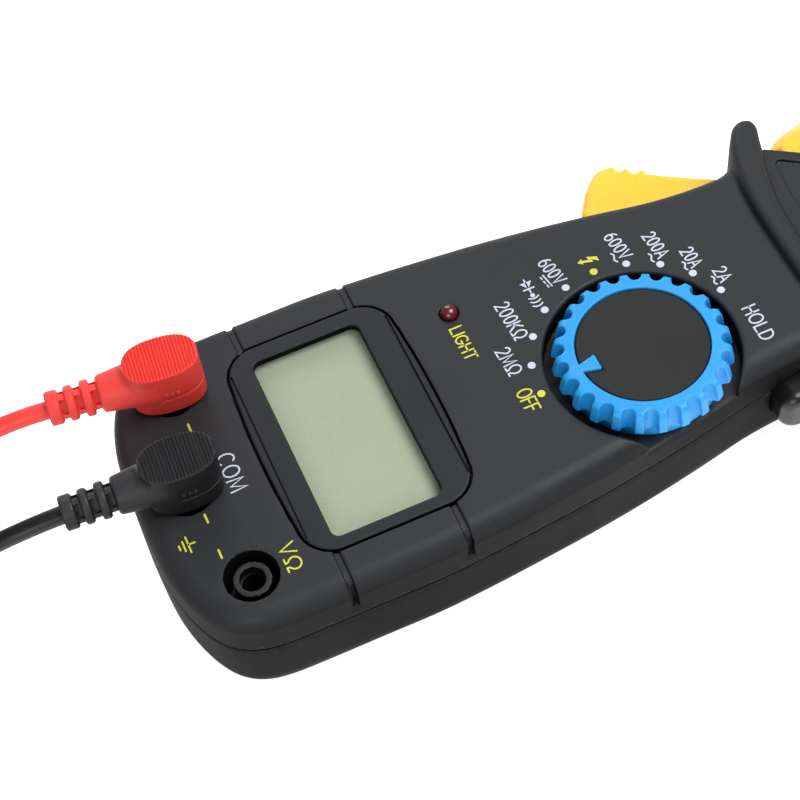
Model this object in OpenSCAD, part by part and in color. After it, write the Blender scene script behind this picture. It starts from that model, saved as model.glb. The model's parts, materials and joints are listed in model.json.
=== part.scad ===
// Pocket clamp meter with a lever-operated current jaw, a rotary range
// switch, three shrouded input jacks and a pair of test leads.
// The meter lies on its back. +Z rises out of the display face, +Y points
// to the jaws, and the origin is on the flat back on the centre line.

/* [Body] */
// Thickness of the body from the flat back to the display face
body_t = 26; // [25:0.5:28]
// Height of the seam between the two shells above the back
seam_z = 16; // [15:0.5:17]
// Wall thickness of the moulded shells
wall = 2; // [1.6:0.1:2.2]
// Radius of the rounded edge around the display face
front_r = 4; // [3:0.5:5]
// Radius of the rounded edge around the back
back_r = 6; // [4:0.5:7]

/* [Range switch] */
// Radius of the recess that the range knob turns in
moat_r = 16.5; // [16.2:0.1:17]
// Outer radius of the ribbed knob ring
knob_r = 15.4; // [14.8:0.1:15.6]
// Radius of the dark disc set into the knob
disc_r = 11.2; // [10.5:0.1:11.6]
// Number of finger ribs around the knob
knob_ribs = 24; // [18:1:30]

/* [Input jacks] */
// Radius of the shroud recess of each jack
jack_r = 4.55; // [4.4:0.05:4.8]
// Outside radius of the insulating post inside each recess
post_r = 3.15; // [3:0.05:3.3]
// Bore radius of each socket, for a 4 mm banana pin
socket_r = 2; // [2:0.01:2.05]

/* [Clamp] */
// Radius of the round window between the closed jaws
window_r = 18.5; // [17:0.5:19]
// Radius of the steel pin that the jaw lever turns on
pivot_r = 2; // [1.8:0.1:2.2]

/* [Leads] */
// Outside diameter of the test leads
lead_d = 3.6; // [3.4:0.1:3.8]

/* [Hidden] */
$fn = 48;

// Distance from the display centre to the origin, along Y
face_y = -25;
// Places on the display face, from the display centre
knob_at = [8.5, 50.3];
led_at = [-12.6, 24.5];
pivot_at = [-10, 92];
jacks = [[-19, -24], [0, -28], [19, -24]];
seam = seam_z - body_t;
floor_z = -body_t;

// Half outline of the body, from the jack end to the guard
half_body = [[9, -36.7], [15, -35.7], [20.4, -33.8], [24.4, -31.2], [26.8, -27.6], [27.8, -23], [28, -16], [28, -6],
  [28, 4], [27.4, 14], [26.4, 25], [25.2, 36], [23.6, 47], [21.8, 57], [20.2, 65], [19.4, 72], [19.2, 78], [19.6, 83.6]];
// Outer outline of the moving side of the jaws, from the guard to the tip
jaw_out = [[-22.6, 92], [-24.4, 95.6], [-26, 101], [-28, 107.5], [-29.8, 115], [-30.4, 122], [-29.4, 130], [-26.4, 137.5],
  [-21.6, 143.6], [-15.4, 148], [-8, 150.4], [-0.3, 151]];

function cat(a, b, c, d, t) = 0.5 * ((2 * b) + (c - a) * t + (2 * a - 5 * b + 4 * c - d) * t * t + (3 * b - a - 3 * c + d) * t * t * t);
function smooth_line(p, n) = [for (i = [0:len(p) - 2]) for (j = [0:n - 1])
    cat(p[max(i - 1, 0)], p[i], p[i + 1], p[min(i + 2, len(p) - 1)], j / n)];
function rev(p) = [for (i = [len(p) - 1:-1:0]) p[i]];
function flip(p) = [for (q = p) [-q[0], q[1]]];
body_line = concat(half_body, rev(flip(half_body)));
function unit(v) = v / max(norm(v), 0.0001);
function inset(p, d) = [for (i = [0:len(p) - 1]) let (a = p[(i + len(p) - 1) % len(p)], b = p[(i + 1) % len(p)], t = unit(b - a))
    p[i] - d * [t[1], -t[0]]];
function ring_at(p, z) = [for (q = p) [q[0], q[1], z]];

// Closed skin through rings of points that run counter-clockwise
module skin(rings) {
  n = len(rings[0]);
  m = len(rings);
  polyhedron(points = [for (r = rings) for (q = r) q],
    faces = concat([[for (k = [0:n - 1]) k]], [[for (k = [n - 1:-1:0]) (m - 1) * n + k]],
      [for (i = [0:m - 2]) for (k = [0:n - 1]) for (s = [0, 1]) let (a = i * n + k, b = i * n + (k + 1) % n)
        s == 0 ? [a, a + n, b + n] : [a, b + n, b]]));
}

// Slab of the body outline whose top or bottom edge is rounded in steps
module rounded_top(line, z0, z1, r, steps = 4) {
  slab(z0, z1 - r) polygon(line);
  for (i = [1:steps]) let (a = 90 * i / steps, b = 90 * (i - 1) / steps, c = 90 * (i - 0.5) / steps)
    slab(z1 - r + r * sin(b), z1 - r + r * sin(a)) polygon(inset(line, r * (1 - cos(c))));
}
module rounded_bottom(line, z0, z1, r, steps = 4) {
  slab(z0 + r, z1) polygon(line);
  for (i = [1:steps]) let (a = 90 * i / steps, b = 90 * (i - 1) / steps, c = 90 * (i - 0.5) / steps)
    slab(z0 + r - r * sin(a), z0 + r - r * sin(b)) polygon(inset(line, r * (1 - cos(c))));
}
module face() translate([0, face_y, body_t]) children();
module bar(lo, hi) translate(lo) cube(hi - lo);
module drum(p, r, z0, z1, n = 48) translate([p[0], p[1], z0]) cylinder(r = r, h = z1 - z0, $fn = n);
module ring(p, ro, ri, z0, z1) difference() { drum(p, ro, z0, z1); drum(p, ri, z0 - 1, z1 + 1); }

// Display opening with bowed long sides
module display_plate(w, h, bow, r) {
  R = (w * w / 4 + bow * bow) / (2 * bow);
  intersection() {
    union() { square([w - 2 * r, h + 2 * bow], center = true); square([w, h - 2 * r], center = true);
      for (x = [-1, 1], y = [-1, 1]) translate([x * (w / 2 - r), y * (h / 2 - r)]) circle(r, $fn = 32); }
    translate([0, h / 2 + bow - R]) circle(R, $fn = 128);
    translate([0, R - h / 2 - bow]) circle(R, $fn = 128);
  }
}
module box2(w, h, r) { square([w - 2 * r, h], center = true); square([w, h - 2 * r], center = true);
  for (x = [-1, 1], y = [-1, 1]) translate([x * (w / 2 - r), y * (h / 2 - r)]) circle(r, $fn = 24); }
module slab(z0, z1) translate([0, 0, z0]) linear_extrude(z1 - z0) children();

// Screw places: case screws, board screws and the two that join the lever halves
case_at = [[-22, -16.5], [22, -16.5], [-15, 40.5], [7, 76]];
board_at = [[-22.4, 18], [22.4, 18], [-8, 33]];
lever_screw_at = [[-20.5, 141], [-20.5, 97.5]];
window_at = [0, 119.5];

// Band of a ring around the window centre, between two angles
module band(a0, a1, ro, ri) translate(window_at) polygon(concat(
  [for (i = [0:24]) let (a = a0 + (a1 - a0) * i / 24) ro * [cos(a), sin(a)]],
  [for (i = [24:-1:0]) let (a = a0 + (a1 - a0) * i / 24) ri * [cos(a), sin(a)]]));

// Plan of the fixed side of the head: the front panel over the pivot and the right jaw
module head_plan() difference() {
  polygon(concat([[-20, 84], [20, 84]], flip(jaw_out), [[0.3, 112], [-12.4, 108], [-14.5, 101], [-18, 95], [-21.4, 90]]));
  translate(window_at) circle(window_r, $fn = 96);
}
module guard_plan() polygon([[-16, 81], [-26.5, 84.2], [-28.4, 85.6], [-28.6, 87.2], [-27.6, 88.4], [-26, 88.4], [-15, 86], [0, 85], [15, 86], [26, 88.4], [27.6, 88.4], [28.6, 87.2], [28.4, 85.6],
    [26.5, 84.2], [16, 81], [8, 80.4], [0, 80.4], [-8, 80.4]]);

// Space swept by the jaw lever between the shells: the trigger arm, then the jaw root
module arm_space(z0, z1) slab(z0, z1)
  polygon([[-40, 50.5], [-12, 47.5], [-5.4, 50], [-5.4, 60], [3.4, 80.5], [4, 92], [-23.4, 92], [-22.5, 87], [-20.6, 84], [-40, 84]]);
module root_space(z0, z1) slab(z0, z1)
  polygon([[-40, 88.5], [-25, 88.5], [-22.9, 86.9], [4, 86.9], [4, 98], [0.3, 101.5], [0.3, 160], [-40, 160]]);
module core_space() { slab(-16.7, -8.3) band(-89.5, 89, 26.7, 20.3); }
module hold_space() translate([0, 74.8, -13]) rotate([0, 90, 0]) slab(11.5, 40) box2(9.4, 10.8, 3);

module front_shell() color([0.23, 0.235, 0.25]) face() difference() {
  union() {
    rounded_top(body_line, seam, 0, front_r);
    slab(seam, 1.8) guard_plan();
    slab(seam, -0.8) head_plan();
  }
  // hollow, less the cup under the knob, the jack walls, the screw posts and the display well
  difference() {
    union() {
      slab(seam - 1, -wall) polygon(inset(body_line, wall));
      bar([-16, 79, seam - 1], [16, 86.2, -wall - 1]);
    }
    drum(knob_at, moat_r + 2, -7.2, 1, 96);
    for (j = jacks) drum(j, jack_r + 1.5, -9.9, 1);
    for (p = case_at) drum(p, 3.2, seam, 1);
    for (p = board_at) drum(p, 2.4, -9.9, 1);
    for (s = [-1, 1]) bar([-21.4, s * 12.9 - 0.7, -9.9], [21.4, s * 12.9 + 0.7, 0]);
    for (s = [-1, 1]) bar([s * 20.8 - 0.7, -13.6, -9.9], [s * 20.8 + 0.7, 13.6, 0]);
  }
  arm_space(seam - 1, -6.9);
  difference() { root_space(seam - 1, -3.6); drum(pivot_at, 4, -7.2, -3); }
  core_space();
  bar([7, 84, seam - 1], [13, 98, -9]);
  // display pocket and opening
  slab(-1.4, 3) display_plate(43.5, 28.4, 0.9, 5);
  slab(-9, 3) square([40, 24], center = true);
  // grooves beside the display pads
  for (s = [-1, 1], y = [-10.3, 10.1]) bar([s * 25 - 3.2, y - 0.6, -6.3], [s * 25 + 3.2, y + 0.6, 1]);
  // knob recess and shaft hole
  drum(knob_at, moat_r, -5.2, 3, 96);
  drum(knob_at, 4.2, -9, 3);
  // jack recesses
  for (j = jacks) { ring(j, jack_r, post_r, -8, 3); drum(j, 2.17, -4, 3); drum(j, 2.65, -12, -3.2); drum(j, 3.2, -1.25, 3); }
  // indicator hole, screw holes and pivot socket
  drum(led_at, 2.05, -9, 3);
  for (p = case_at) drum(p, 1.2, -12, -3);
  for (p = board_at) drum(p, 0.8, -12, -3);
  drum(pivot_at, pivot_r, -12, -3);
  hold_space();
}

module back_shell() color([0.25, 0.25, 0.255]) face() difference() {
  union() {
    rounded_bottom(body_line, floor_z, seam, back_r);
    slab(floor_z + 1, seam) guard_plan();
    slab(floor_z + 1.5, seam) head_plan();
  }
  difference() {
    union() {
      slab(floor_z + wall, floor_z + back_r + 0.2) polygon(inset(body_line, wall + 1.6));
      slab(floor_z + back_r, seam + 1) polygon(inset(body_line, wall));
      bar([-16, 79, floor_z + 4], [16, 86.2, seam + 1]);
    }
    for (p = case_at) drum(p, 3.2, floor_z, seam);
    drum([0, -12.2], 3, floor_z, -20);
    // battery bay walls
    difference() { bar([-27, -9.9, floor_z], [27, 17, -17]); bar([-25, -8.8, floor_z - 1], [25, 15.8, 0]); }
  }
  arm_space(-18.2, seam + 1);
  difference() { root_space(-21.6, seam + 1); drum(pivot_at, 4, -22, -17.9); }
  core_space();
  bar([7, 84, -16], [13, 98, seam + 1]);
  // battery cover seat, opening and cover screw
  bar([-23.6, -9.2, floor_z - 1], [23.6, 16.2, floor_z + 1.2]);
  bar([-5.2, -15.7, floor_z - 1], [5.2, -9, floor_z + 1.2]);
  bar([-22, -7.8, floor_z - 1], [22, 14.8, floor_z + 5]);
  drum([0, -12.2], 1, floor_z, -20.5);
  for (p = case_at) { drum(p, 1.6, floor_z - 1, 0); drum(p, 2.9, floor_z - 1, floor_z + 4); }
  drum(pivot_at, pivot_r, -23, 0);
  hold_space();
}

module lcd_frame() color([0.16, 0.165, 0.175]) face() difference() {
  slab(-1.4, 0.25) display_plate(42.4, 27.4, 0.8, 4.6);
  slab(-2, 2) box2(36.9, 19.2, 1.4);
  slab(-0.2, 2) box2(38.1, 20.4, 2);
}
module lcd_window() color([0.8, 0.85, 0.8, 0.4]) face() slab(-2.5, -1.4) box2(39.4, 23.4, 1);
module lcd_glass() color([0.69, 0.72, 0.6]) face() slab(-4.8, -2.55) box2(39.2, 23.4, 0.5);
module lcd_backlight() color("white") face() slab(-8.6, -4.85) box2(38, 17.6, 0.5);
module zebra_strips() color([0.8, 0.6, 0.65]) face() for (s = [-1, 1]) bar([-18.5, s * 10.4 - 1, -10], [18.5, s * 10.4 + 1, -4.8]);

module main_board() color([0.1, 0.35, 0.16]) face() difference() {
  slab(-11.6, -10) polygon([[-25, -20], [-20, -31.5], [-8, -34], [8, -34], [20, -31.5], [25, -20], [25.4, 4], [24, 20], [21, 46], [17.4, 62], [15.9, 68], [15.9, 79], [12, 79], [12, 69], [4, 69], [-4, 62], [-4, 46], [-12, 45], [-23, 30], [-24, 20], [-25.4, 4]]);
  for (j = jacks) drum(j, 2.65, -13, 0);
  for (p = case_at) drum(p, 3.5, -13, 0);
  for (p = board_at) drum(p, 1.1, -13, 0);
  drum(knob_at, 2.1, -13, 0);
}
// Screw that enters from the back, with a cross recess
module screw(p, r, z0, z1, head_r, head_h) { drum(p, r, z0, z1, 24);
  difference() { drum(p, head_r, z0 - head_h, z0, 24); for (a = [0, 90]) translate([p[0], p[1], z0 - head_h]) rotate(a) cube([head_r * 1.2, head_r * 0.28, head_h], center = true); } }
module board_screws() color("silver") face() for (p = board_at) screw(p, 0.8, -11.6, -4, 1.9, 1.1);
module case_screws() color([0.3, 0.3, 0.3]) face() for (p = case_at) screw(p, 1.2, floor_z + 4, -4, 2.5, 1.6);
module jack_sockets() color([0.85, 0.7, 0.35]) face() for (j = jacks) difference() {
  union() { drum(j, 2.6, -20.5, -3.25); drum(j, 3.6, -12.5, -11.6); }
  drum(j, socket_r, -19.5, 0);
}
module indicator_led() color([0.5, 0.06, 0.06]) face() { drum(led_at, 1.95, -6, 0.1); translate([led_at[0], led_at[1], 0.1]) intersection() { sphere(1.95); drum([0, 0], 3, 0, 3); }
  drum(led_at, 2.4, -9.9, -5.9); }
module buzzer() color([0.1, 0.1, 0.1]) face() ring([8, 36], 6.5, 1, -16.5, -11.6);
module measuring_chip() color([0.05, 0.05, 0.05]) face() translate([-8, 22.5, -11.6]) intersection() { translate([0, 0, 9]) sphere(10.8, $fn = 64); drum([0, 0], 9, -4, 0); }

// Ribbed ring of the knob with its pointer and stem
module knob_ring() color([0.2, 0.58, 0.98]) face() translate([knob_at[0], knob_at[1], 0]) difference() {
  union() {
    difference() {
      union() { drum([0, 0], knob_r, -4.6, 1.9, 96); drum([0, 0], knob_r - 1, 1.9, 2.9, 96); }
      drum([0, 0], disc_r + 0.05, 1.2, 4, 96);
      drum([0, 0], 13.2, -5, -1, 96);
    }
    drum([0, 0], 4, -9.4, 0);
    rotate(-90) slab(1.2, 2.6) polygon([[disc_r + 0.6, -1.3], [disc_r + 0.6, 1.3], [7.6, 2], [7.6, -2]]);
  }
  for (i = [0:knob_ribs - 1]) rotate(360 * (i + 0.5) / knob_ribs) drum([knob_r + 0.3, 0], 1.25, -6, 1.2, 20);
}
module knob_disc() color([0.15, 0.15, 0.16]) face() translate([knob_at[0], knob_at[1], 0]) difference() {
  drum([0, 0], disc_r, 1.2, 2.7, 96);
  rotate(-90) slab(0, 4) polygon([[disc_r + 1, -1.45], [disc_r + 1, 1.45], [7.5, 2.1], [7.5, -2.1]]);
}
module switch_rotor() color("ivory") face() difference() {
  union() { drum(knob_at, 10.4, -9.4, -7.4); drum(knob_at, 2, -11.5, -9.3); }
  drum(knob_at, 4, -9.4, -7);
  for (s = [-1, 1]) translate([knob_at[0], knob_at[1], -8.4]) rotate([0, s * 90, 0]) translate([0, 0, 5.6]) cylinder(r = 0.8, h = 6);
}
module detent_ring() color([0.75, 0.75, 0.72]) face() difference() { ring(knob_at, 12.1, 10.9, -9.6, -7.3);
  for (i = [0:19]) translate(knob_at) rotate(18 * i) drum([10.9, 0], 0.6, -10, -7, 16); }
module switch_contacts() color([0.85, 0.7, 0.35]) face() translate(knob_at) for (a = [30, 150, 270]) rotate(a) { bar([4.6, -1, -9.7], [9.4, -0.3, -9.4]); bar([4.6, 0.3, -9.7], [9.4, 1, -9.4]); }
module detent_springs() color("silver") face() for (s = [-1, 1]) translate([knob_at[0], knob_at[1], -8.4]) rotate([0, s * 90, 0]) translate([0, 0, 5.6]) difference() { cylinder(r = 0.75, h = 3.5); translate([0, 0, -1]) cylinder(r = 0.45, h = 6); }
module detent_balls() color("silver") face() for (s = [-1, 1]) translate([knob_at[0] + s * 9.95, knob_at[1], -8.4]) sphere(0.76, $fn = 24);
module hold_button() color([0.1, 0.1, 0.11]) face() translate([0, 74.8, -13]) rotate([0, 90, 0]) { slab(17.6, 24.2) box2(8.8, 10.2, 2.7); slab(24.2, 25.4) box2(7.4, 8.8, 2.2); }
module hold_switch() color("silver") face() { bar([12.4, 72, -15.6], [16.2, 77.6, -11.6]); translate([16.2, 74.8, -13.4]) rotate([0, 90, 0]) cylinder(r = 1.2, h = 0.3); }

module battery_cover() color([0.22, 0.22, 0.23]) face() difference() {
  union() {
    bar([-23.4, -9, floor_z + 0.08], [23.4, 16, floor_z + 1.15]);
    bar([-5, -15.5, floor_z + 0.08], [5, -8.9, floor_z + 1.15]);
    difference() { bar([-21.7, -7.5, floor_z + 1], [21.7, 14.5, floor_z + 2.6]); bar([-20.5, -6.3, floor_z + 1.15], [20.5, 13.3, floor_z + 3]); }
  }
  for (i = [0:4]) bar([-7, -6 + 2 * i, floor_z - 1], [7, -5 + 2 * i, floor_z + 0.35]);
  drum([0, -12.2], 1.2, floor_z - 1, floor_z + 3);
}
module cover_screw() color("silver") face() { drum([0, -12.2], 1, floor_z + 0.4, -21.5, 24); ring([0, -12.2], 1.15, 0.9, floor_z + 0.4, floor_z + 1); }
cell_y = [-2.8, 9.8];
module battery_cells() color([0.25, 0.4, 0.3]) face() for (i = [0, 1]) translate([0, cell_y[i], -17.9]) rotate([0, i == 0 ? 90 : -90, 0]) { translate([0, 0, -22]) cylinder(r = 5.2, h = 43.2); translate([0, 0, 21]) cylinder(r = 1.9, h = 1.2); }
module battery_contacts() color("silver") face() for (s = [-1, 1]) { bar([s * 23.4 - 0.2, -8.3, -23], [s * 23.4 + 0.2, 15.2, -12.5]);
  translate([s > 0 ? 22.2 : -23.4, cell_y[s > 0 ? 1 : 0], -17.9]) rotate([0, 90, 0]) cylinder(r = 2.4, h = 1.2); }

// Jaw lever: jaw, pivot root and trigger arm
module arm_plan() difference() {
  polygon([[-21.8, 90], [-19.8, 85], [-20.4, 80], [-23.4, 82], [-26, 76.2], [-29.8, 71.1], [-31.3, 70.2], [-31.4, 68.6], [-32.9, 67.8], [-33, 66.3], [-34.4, 65.6], [-34.6, 63.4], [-32.4, 60.6],
    [-28.3, 57.3], [-26, 56], [-21, 57.4], [-19, 60], [-12, 72], [-4, 80], [-1, 84], [-0.6, 92]]);
}
module jaw_plan() difference() {
  union() {
    polygon(concat(jaw_out, [[-0.3, 96], [-10, 90.2]]));
    intersection() { translate(pivot_at) circle(12.4, $fn = 96); translate([-24, 92]) square([23.7, 14]); }
  }
  translate(window_at) circle(window_r, $fn = 96);
}
module jaw_half(z0, z1, zj0, zj1) difference() {
  union() { slab(z0, z1) arm_plan(); slab(zj0, zj1) jaw_plan(); slab(z0, z1) intersection() { translate(pivot_at) circle(9.9, $fn = 96); translate([-24, 84]) square([25, 20]); } }
  drum(pivot_at, pivot_r + 0.06, -30, 0);
  drum(pivot_at, 7, -7.4, 0);
  drum(pivot_at, 7, -30, -17.5);
  slab(-16.7, -8.3) band(91, 268.5, 26.7, 20.3);
  for (p = lever_screw_at) { drum(p, 0.95, -18.1, -7.9, 24); drum(p, 1.8, -22, -18, 24); }
}
module moving_jaw_front() color([1, 0.83, 0.29]) face() jaw_half(-12.5, -7.4, -12.5, -4);
module moving_jaw_back() color([1, 0.83, 0.29]) face() jaw_half(-17.5, -12.5, -21, -12.5);
module jaw_screws() color("silver") face() for (p = lever_screw_at) screw(p, 0.95, -18, -8, 1.7, 1);
module core(a0, a1) slab(-15.5, -9.5) band(a0, a1, 25.6, 21.4);
module coil(a0, a1) difference() { slab(-16.5, -8.5) band(a0, a1, 26.5, 20.5); slab(-15.5, -9.5) band(a0 - 2, a1 + 2, 25.6, 21.4); }
module moving_core() color([0.5, 0.5, 0.53]) face() core(91.4, 268);
module moving_coil() color([0.75, 0.4, 0.15]) face() coil(150, 210);
module pivot_pin() color("silver") face() drum(pivot_at, pivot_r, -22.5, -3.2);
module return_spring() color("silver") face() {
  for (i = [0:2]) translate([pivot_at[0], pivot_at[1], -6.6 + 0.95 * i]) rotate_extrude($fn = 48) translate([4.6, 0]) circle(0.4, $fn = 16);
  translate([pivot_at[0], pivot_at[1] - 4.6, -4.7]) rotate([0, 90, 0]) cylinder(r = 0.38, h = 12, $fn = 16);
  translate([pivot_at[0], pivot_at[1] - 4.6, -6.6]) rotate([0, -90, 0]) cylinder(r = 0.38, h = 9, $fn = 16);
}
module fixed_core() color([0.5, 0.5, 0.53]) face() core(-89, 88.6);
module fixed_coil() color([0.75, 0.4, 0.15]) face() coil(-30, 30);
module coil_wires() color([0.7, 0.1, 0.1]) face() for (s = [-1, 1]) translate([10 + s, 79.5, -12.6]) rotate([-90, 0, 0]) cylinder(r = 0.6, h = 15, $fn = 16);

// Right-angle banana plug seated in jack j, its cable leaving towards -Y
module plug(j, a) difference() {
  translate([j[0], j[1], 0]) rotate(a) {
    hull() { for (s = [-1.3, 1.3]) translate([0, s, 0.5]) cylinder(r = 4.6, h = 9.6, $fn = 32); translate([0, 0, 0.5]) cylinder(r = 3.9, h = 10.2, $fn = 32); }
    hull() { translate([0, -4, 5.4]) rotate([90, 0, 0]) cylinder(r = 4.1, h = 1, $fn = 32); translate([0, -9.6, 5.4]) rotate([90, 0, 0]) cylinder(r = 3, h = 1, $fn = 32); }
    translate([0, -10, 5.4]) rotate([90, 0, 0]) cylinder(r = 2.3, h = 9);
    for (i = [0:2]) translate([0, -11.6 - 2.3 * i, 5.4]) rotate([90, 0, 0]) cylinder(r = 3.3 - 0.2 * i, h = 1.2);
    translate([0, -18, 5.4]) rotate([90, 0, 0]) cylinder(r = 2.5, h = 1);
    translate([0, 0, -7.6]) cylinder(r = 4.4, h = 8.2);
  }
  drum(j, 3.3, -9, 0.4);
  drum(j, 1.95, -9, 5);
}
// Turn of the red and the black plug about their pins
plug_lean = [-6, -3.5];
module plug_pin(j) drum(j, 1.95, -18.5, 5);
module red_plug() color([0.98, 0.27, 0.25]) face() plug(jacks[0], plug_lean[0]);
module black_plug() color([0.1, 0.1, 0.1]) face() plug(jacks[1], plug_lean[1]);
module red_plug_pin() color([0.85, 0.75, 0.5]) face() plug_pin(jacks[0]);
module black_plug_pin() color([0.85, 0.75, 0.5]) face() plug_pin(jacks[1]);

// Round cord swept along points
module cord(p, r, n = 8) {
  m = len(p);
  skin([for (i = [0:m - 1]) let (t = unit(p[min(i + 1, m - 1)] - p[max(i - 1, 0)]), u = unit(cross([0, 0, 1], t)), v = cross(t, u))
    [for (k = [0:n - 1]) p[i] + r * (cos(360 * k / n) * u + sin(360 * k / n) * v)]]);
}
// Leads: down from the plug to the table, into a round coil, then to the probe.
// Points are on the resting surface's own frame, measured from the origin.
red_coil_at = [9.8, -124.5, 7.1];
black_coil_at = [9.8, -124.5, 0];
coil_out = 25.6;
coil_in = 14.8;
coil_h = 6.8;
red_drop = [[-20.9, -67.4, 31.4], [-21.6, -74, 31], [-22, -80, 29.2], [-22, -86, 26], [-21.2, -92, 22.4], [-19.8, -98, 19], [-18, -104, 15.8], [-16, -110, 12.8], [-14.5, -116.5, 10.2], [-14, -124.5, 8.9]];
black_drop = [[-1.1, -71.5, 31.4], [-1.6, -78, 30.8], [-2.6, -84, 28], [-4.2, -90, 23.2], [-6.4, -96, 17.6], [-8.8, -102, 12], [-11.2, -108, 7.2], [-13, -114, 3.8], [-13.8, -119.4, 2.1], [-14, -124.5, 1.8]];
red_tail = [[-12.2, -124.5, 12.2], [-12.1, -131, 12], [-10.8, -138, 10.6], [-8, -145, 8], [-4.4, -151, 5.2], [-1.4, -157, 3.7], [0, -163, 3.4], [0, -168, 3.4]];
black_tail = [[-12.2, -124.5, 5.1], [-12.6, -132, 4.8], [-13.4, -139, 3.9], [-14, -145, 3.4], [-14.2, -151, 3.4]];
function path(p) = concat(smooth_line(p, 2), [p[len(p) - 1]]);
module red_lead() color([0.98, 0.27, 0.25]) { cord(path(red_drop), lead_d / 2); cord(path(red_tail), lead_d / 2); }
module black_lead() color([0.1, 0.1, 0.1]) { cord(path(black_drop), lead_d / 2); cord(path(black_tail), lead_d / 2); }
module lead_coil(c) translate(c) rotate_extrude($fn = 72) polygon([[coil_in, 1], [coil_in + 1, 0], [coil_out - 1, 0], [coil_out, 1], [coil_out, 3], [coil_out - 2, coil_h], [coil_in + 2, coil_h], [coil_in, 3]]);
module red_lead_coil() color([0.98, 0.27, 0.25]) lead_coil(red_coil_at);
module black_lead_coil() color([0.1, 0.1, 0.1]) lead_coil(black_coil_at);
// Band over both coils, which lie one on the other
module tie(a) translate([black_coil_at[0], black_coil_at[1], 0]) rotate(a) translate([(coil_in + coil_out) / 2, 0, 0]) difference() {
  translate([-6.4, -1.5, 0]) cube([12.8, 3, 14.9]); translate([-5.5, -2, -0.1]) cube([11, 4, 14.1]); }
module red_tie() color([0.2, 0.2, 0.2]) tie(60);
module black_tie() color([0.2, 0.2, 0.2]) tie(-60);
// Probe lying along Y, its tip towards -Y
module probe(x, y) translate([x, y, 0]) rotate(-90) translate([0, 0, 5.2]) rotate([0, 90, 0]) difference() {
  union() {
    translate([1.8, 0, 0]) cylinder(r1 = 2.4, r2 = 3, h = 14, $fn = 32);
    hull() { translate([1.6, 0, 13]) cylinder(r = 3, h = 1, $fn = 32); translate([0, 0, 24]) cylinder(r = 5, h = 1, $fn = 32); }
    translate([0, 0, 24]) cylinder(r = 5, h = 42);
    translate([0, 0, 64]) cylinder(r = 5.2, h = 1.2);
    translate([0, 0, 63]) cylinder(r = 3.4, h = 18);
  }
  translate([0, 0, 68]) cylinder(r = 1, h = 20);
}
module probe_tip(x, y) translate([x, y, 0]) rotate(-90) translate([0, 0, 5.2]) rotate([0, 90, 0]) { translate([0, 0, 68]) cylinder(r = 1, h = 27); translate([0, 0, 95]) cylinder(r1 = 1, r2 = 0.3, h = 3, $fn = 24); }
red_probe_at = [0, -162];
black_probe_at = [-14.2, -146];
module red_probe() color([0.98, 0.27, 0.25]) probe(red_probe_at[0], red_probe_at[1]);
module red_probe_tip() color("silver") probe_tip(red_probe_at[0], red_probe_at[1]);
module black_probe() color([0.1, 0.1, 0.1]) probe(black_probe_at[0], black_probe_at[1]);
module black_probe_tip() color("silver") probe_tip(black_probe_at[0], black_probe_at[1]);

front_shell();
back_shell();
lcd_frame();
lcd_window();
lcd_glass();
lcd_backlight();
zebra_strips();
main_board();
board_screws();
case_screws();
jack_sockets();
indicator_led();
buzzer();
measuring_chip();
knob_ring();
knob_disc();
switch_rotor();
switch_contacts();
detent_ring();
detent_springs();
detent_balls();
hold_button();
hold_switch();
battery_cover();
battery_cells();
battery_contacts();
moving_jaw_front();
moving_jaw_back();
jaw_screws();
moving_core();
moving_coil();
pivot_pin();
return_spring();
fixed_core();
fixed_coil();
coil_wires();
cover_screw();
red_plug();
red_plug_pin();
red_lead();
red_lead_coil();
red_tie();
red_probe();
red_probe_tip();
black_plug();
black_plug_pin();
black_lead();
black_lead_coil();
black_tie();
black_probe();
black_probe_tip();
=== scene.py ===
import json
import math
import bpy
import bmesh
import numpy as np
from mathutils import Matrix, Vector


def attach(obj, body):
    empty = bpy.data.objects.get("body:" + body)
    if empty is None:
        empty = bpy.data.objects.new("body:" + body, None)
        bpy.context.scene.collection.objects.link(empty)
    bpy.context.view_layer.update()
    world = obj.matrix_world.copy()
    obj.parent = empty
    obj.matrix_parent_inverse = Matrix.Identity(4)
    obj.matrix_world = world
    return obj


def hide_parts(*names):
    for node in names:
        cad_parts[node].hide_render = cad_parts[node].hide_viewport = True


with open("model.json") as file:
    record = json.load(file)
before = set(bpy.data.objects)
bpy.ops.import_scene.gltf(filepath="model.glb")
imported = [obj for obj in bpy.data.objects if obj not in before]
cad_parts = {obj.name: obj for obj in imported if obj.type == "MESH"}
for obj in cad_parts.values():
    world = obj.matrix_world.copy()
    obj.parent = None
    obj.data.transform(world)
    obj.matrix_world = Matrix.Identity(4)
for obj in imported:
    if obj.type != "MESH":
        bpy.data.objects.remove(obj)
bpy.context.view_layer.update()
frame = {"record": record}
H = 0.3

# ---------------------------------------------------------------- frame
# Shapes are written in millimetres from the display centre on the front face.
OX, OY, OZ = 0.0, -25.0, 26.0


def row(p):
    return ((p[0] + OX) / 1000.0, (p[1] + OY) / 1000.0, (p[2] + OZ) / 1000.0)


def link(o):
    bpy.context.scene.collection.objects.link(o)
    return o


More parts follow.
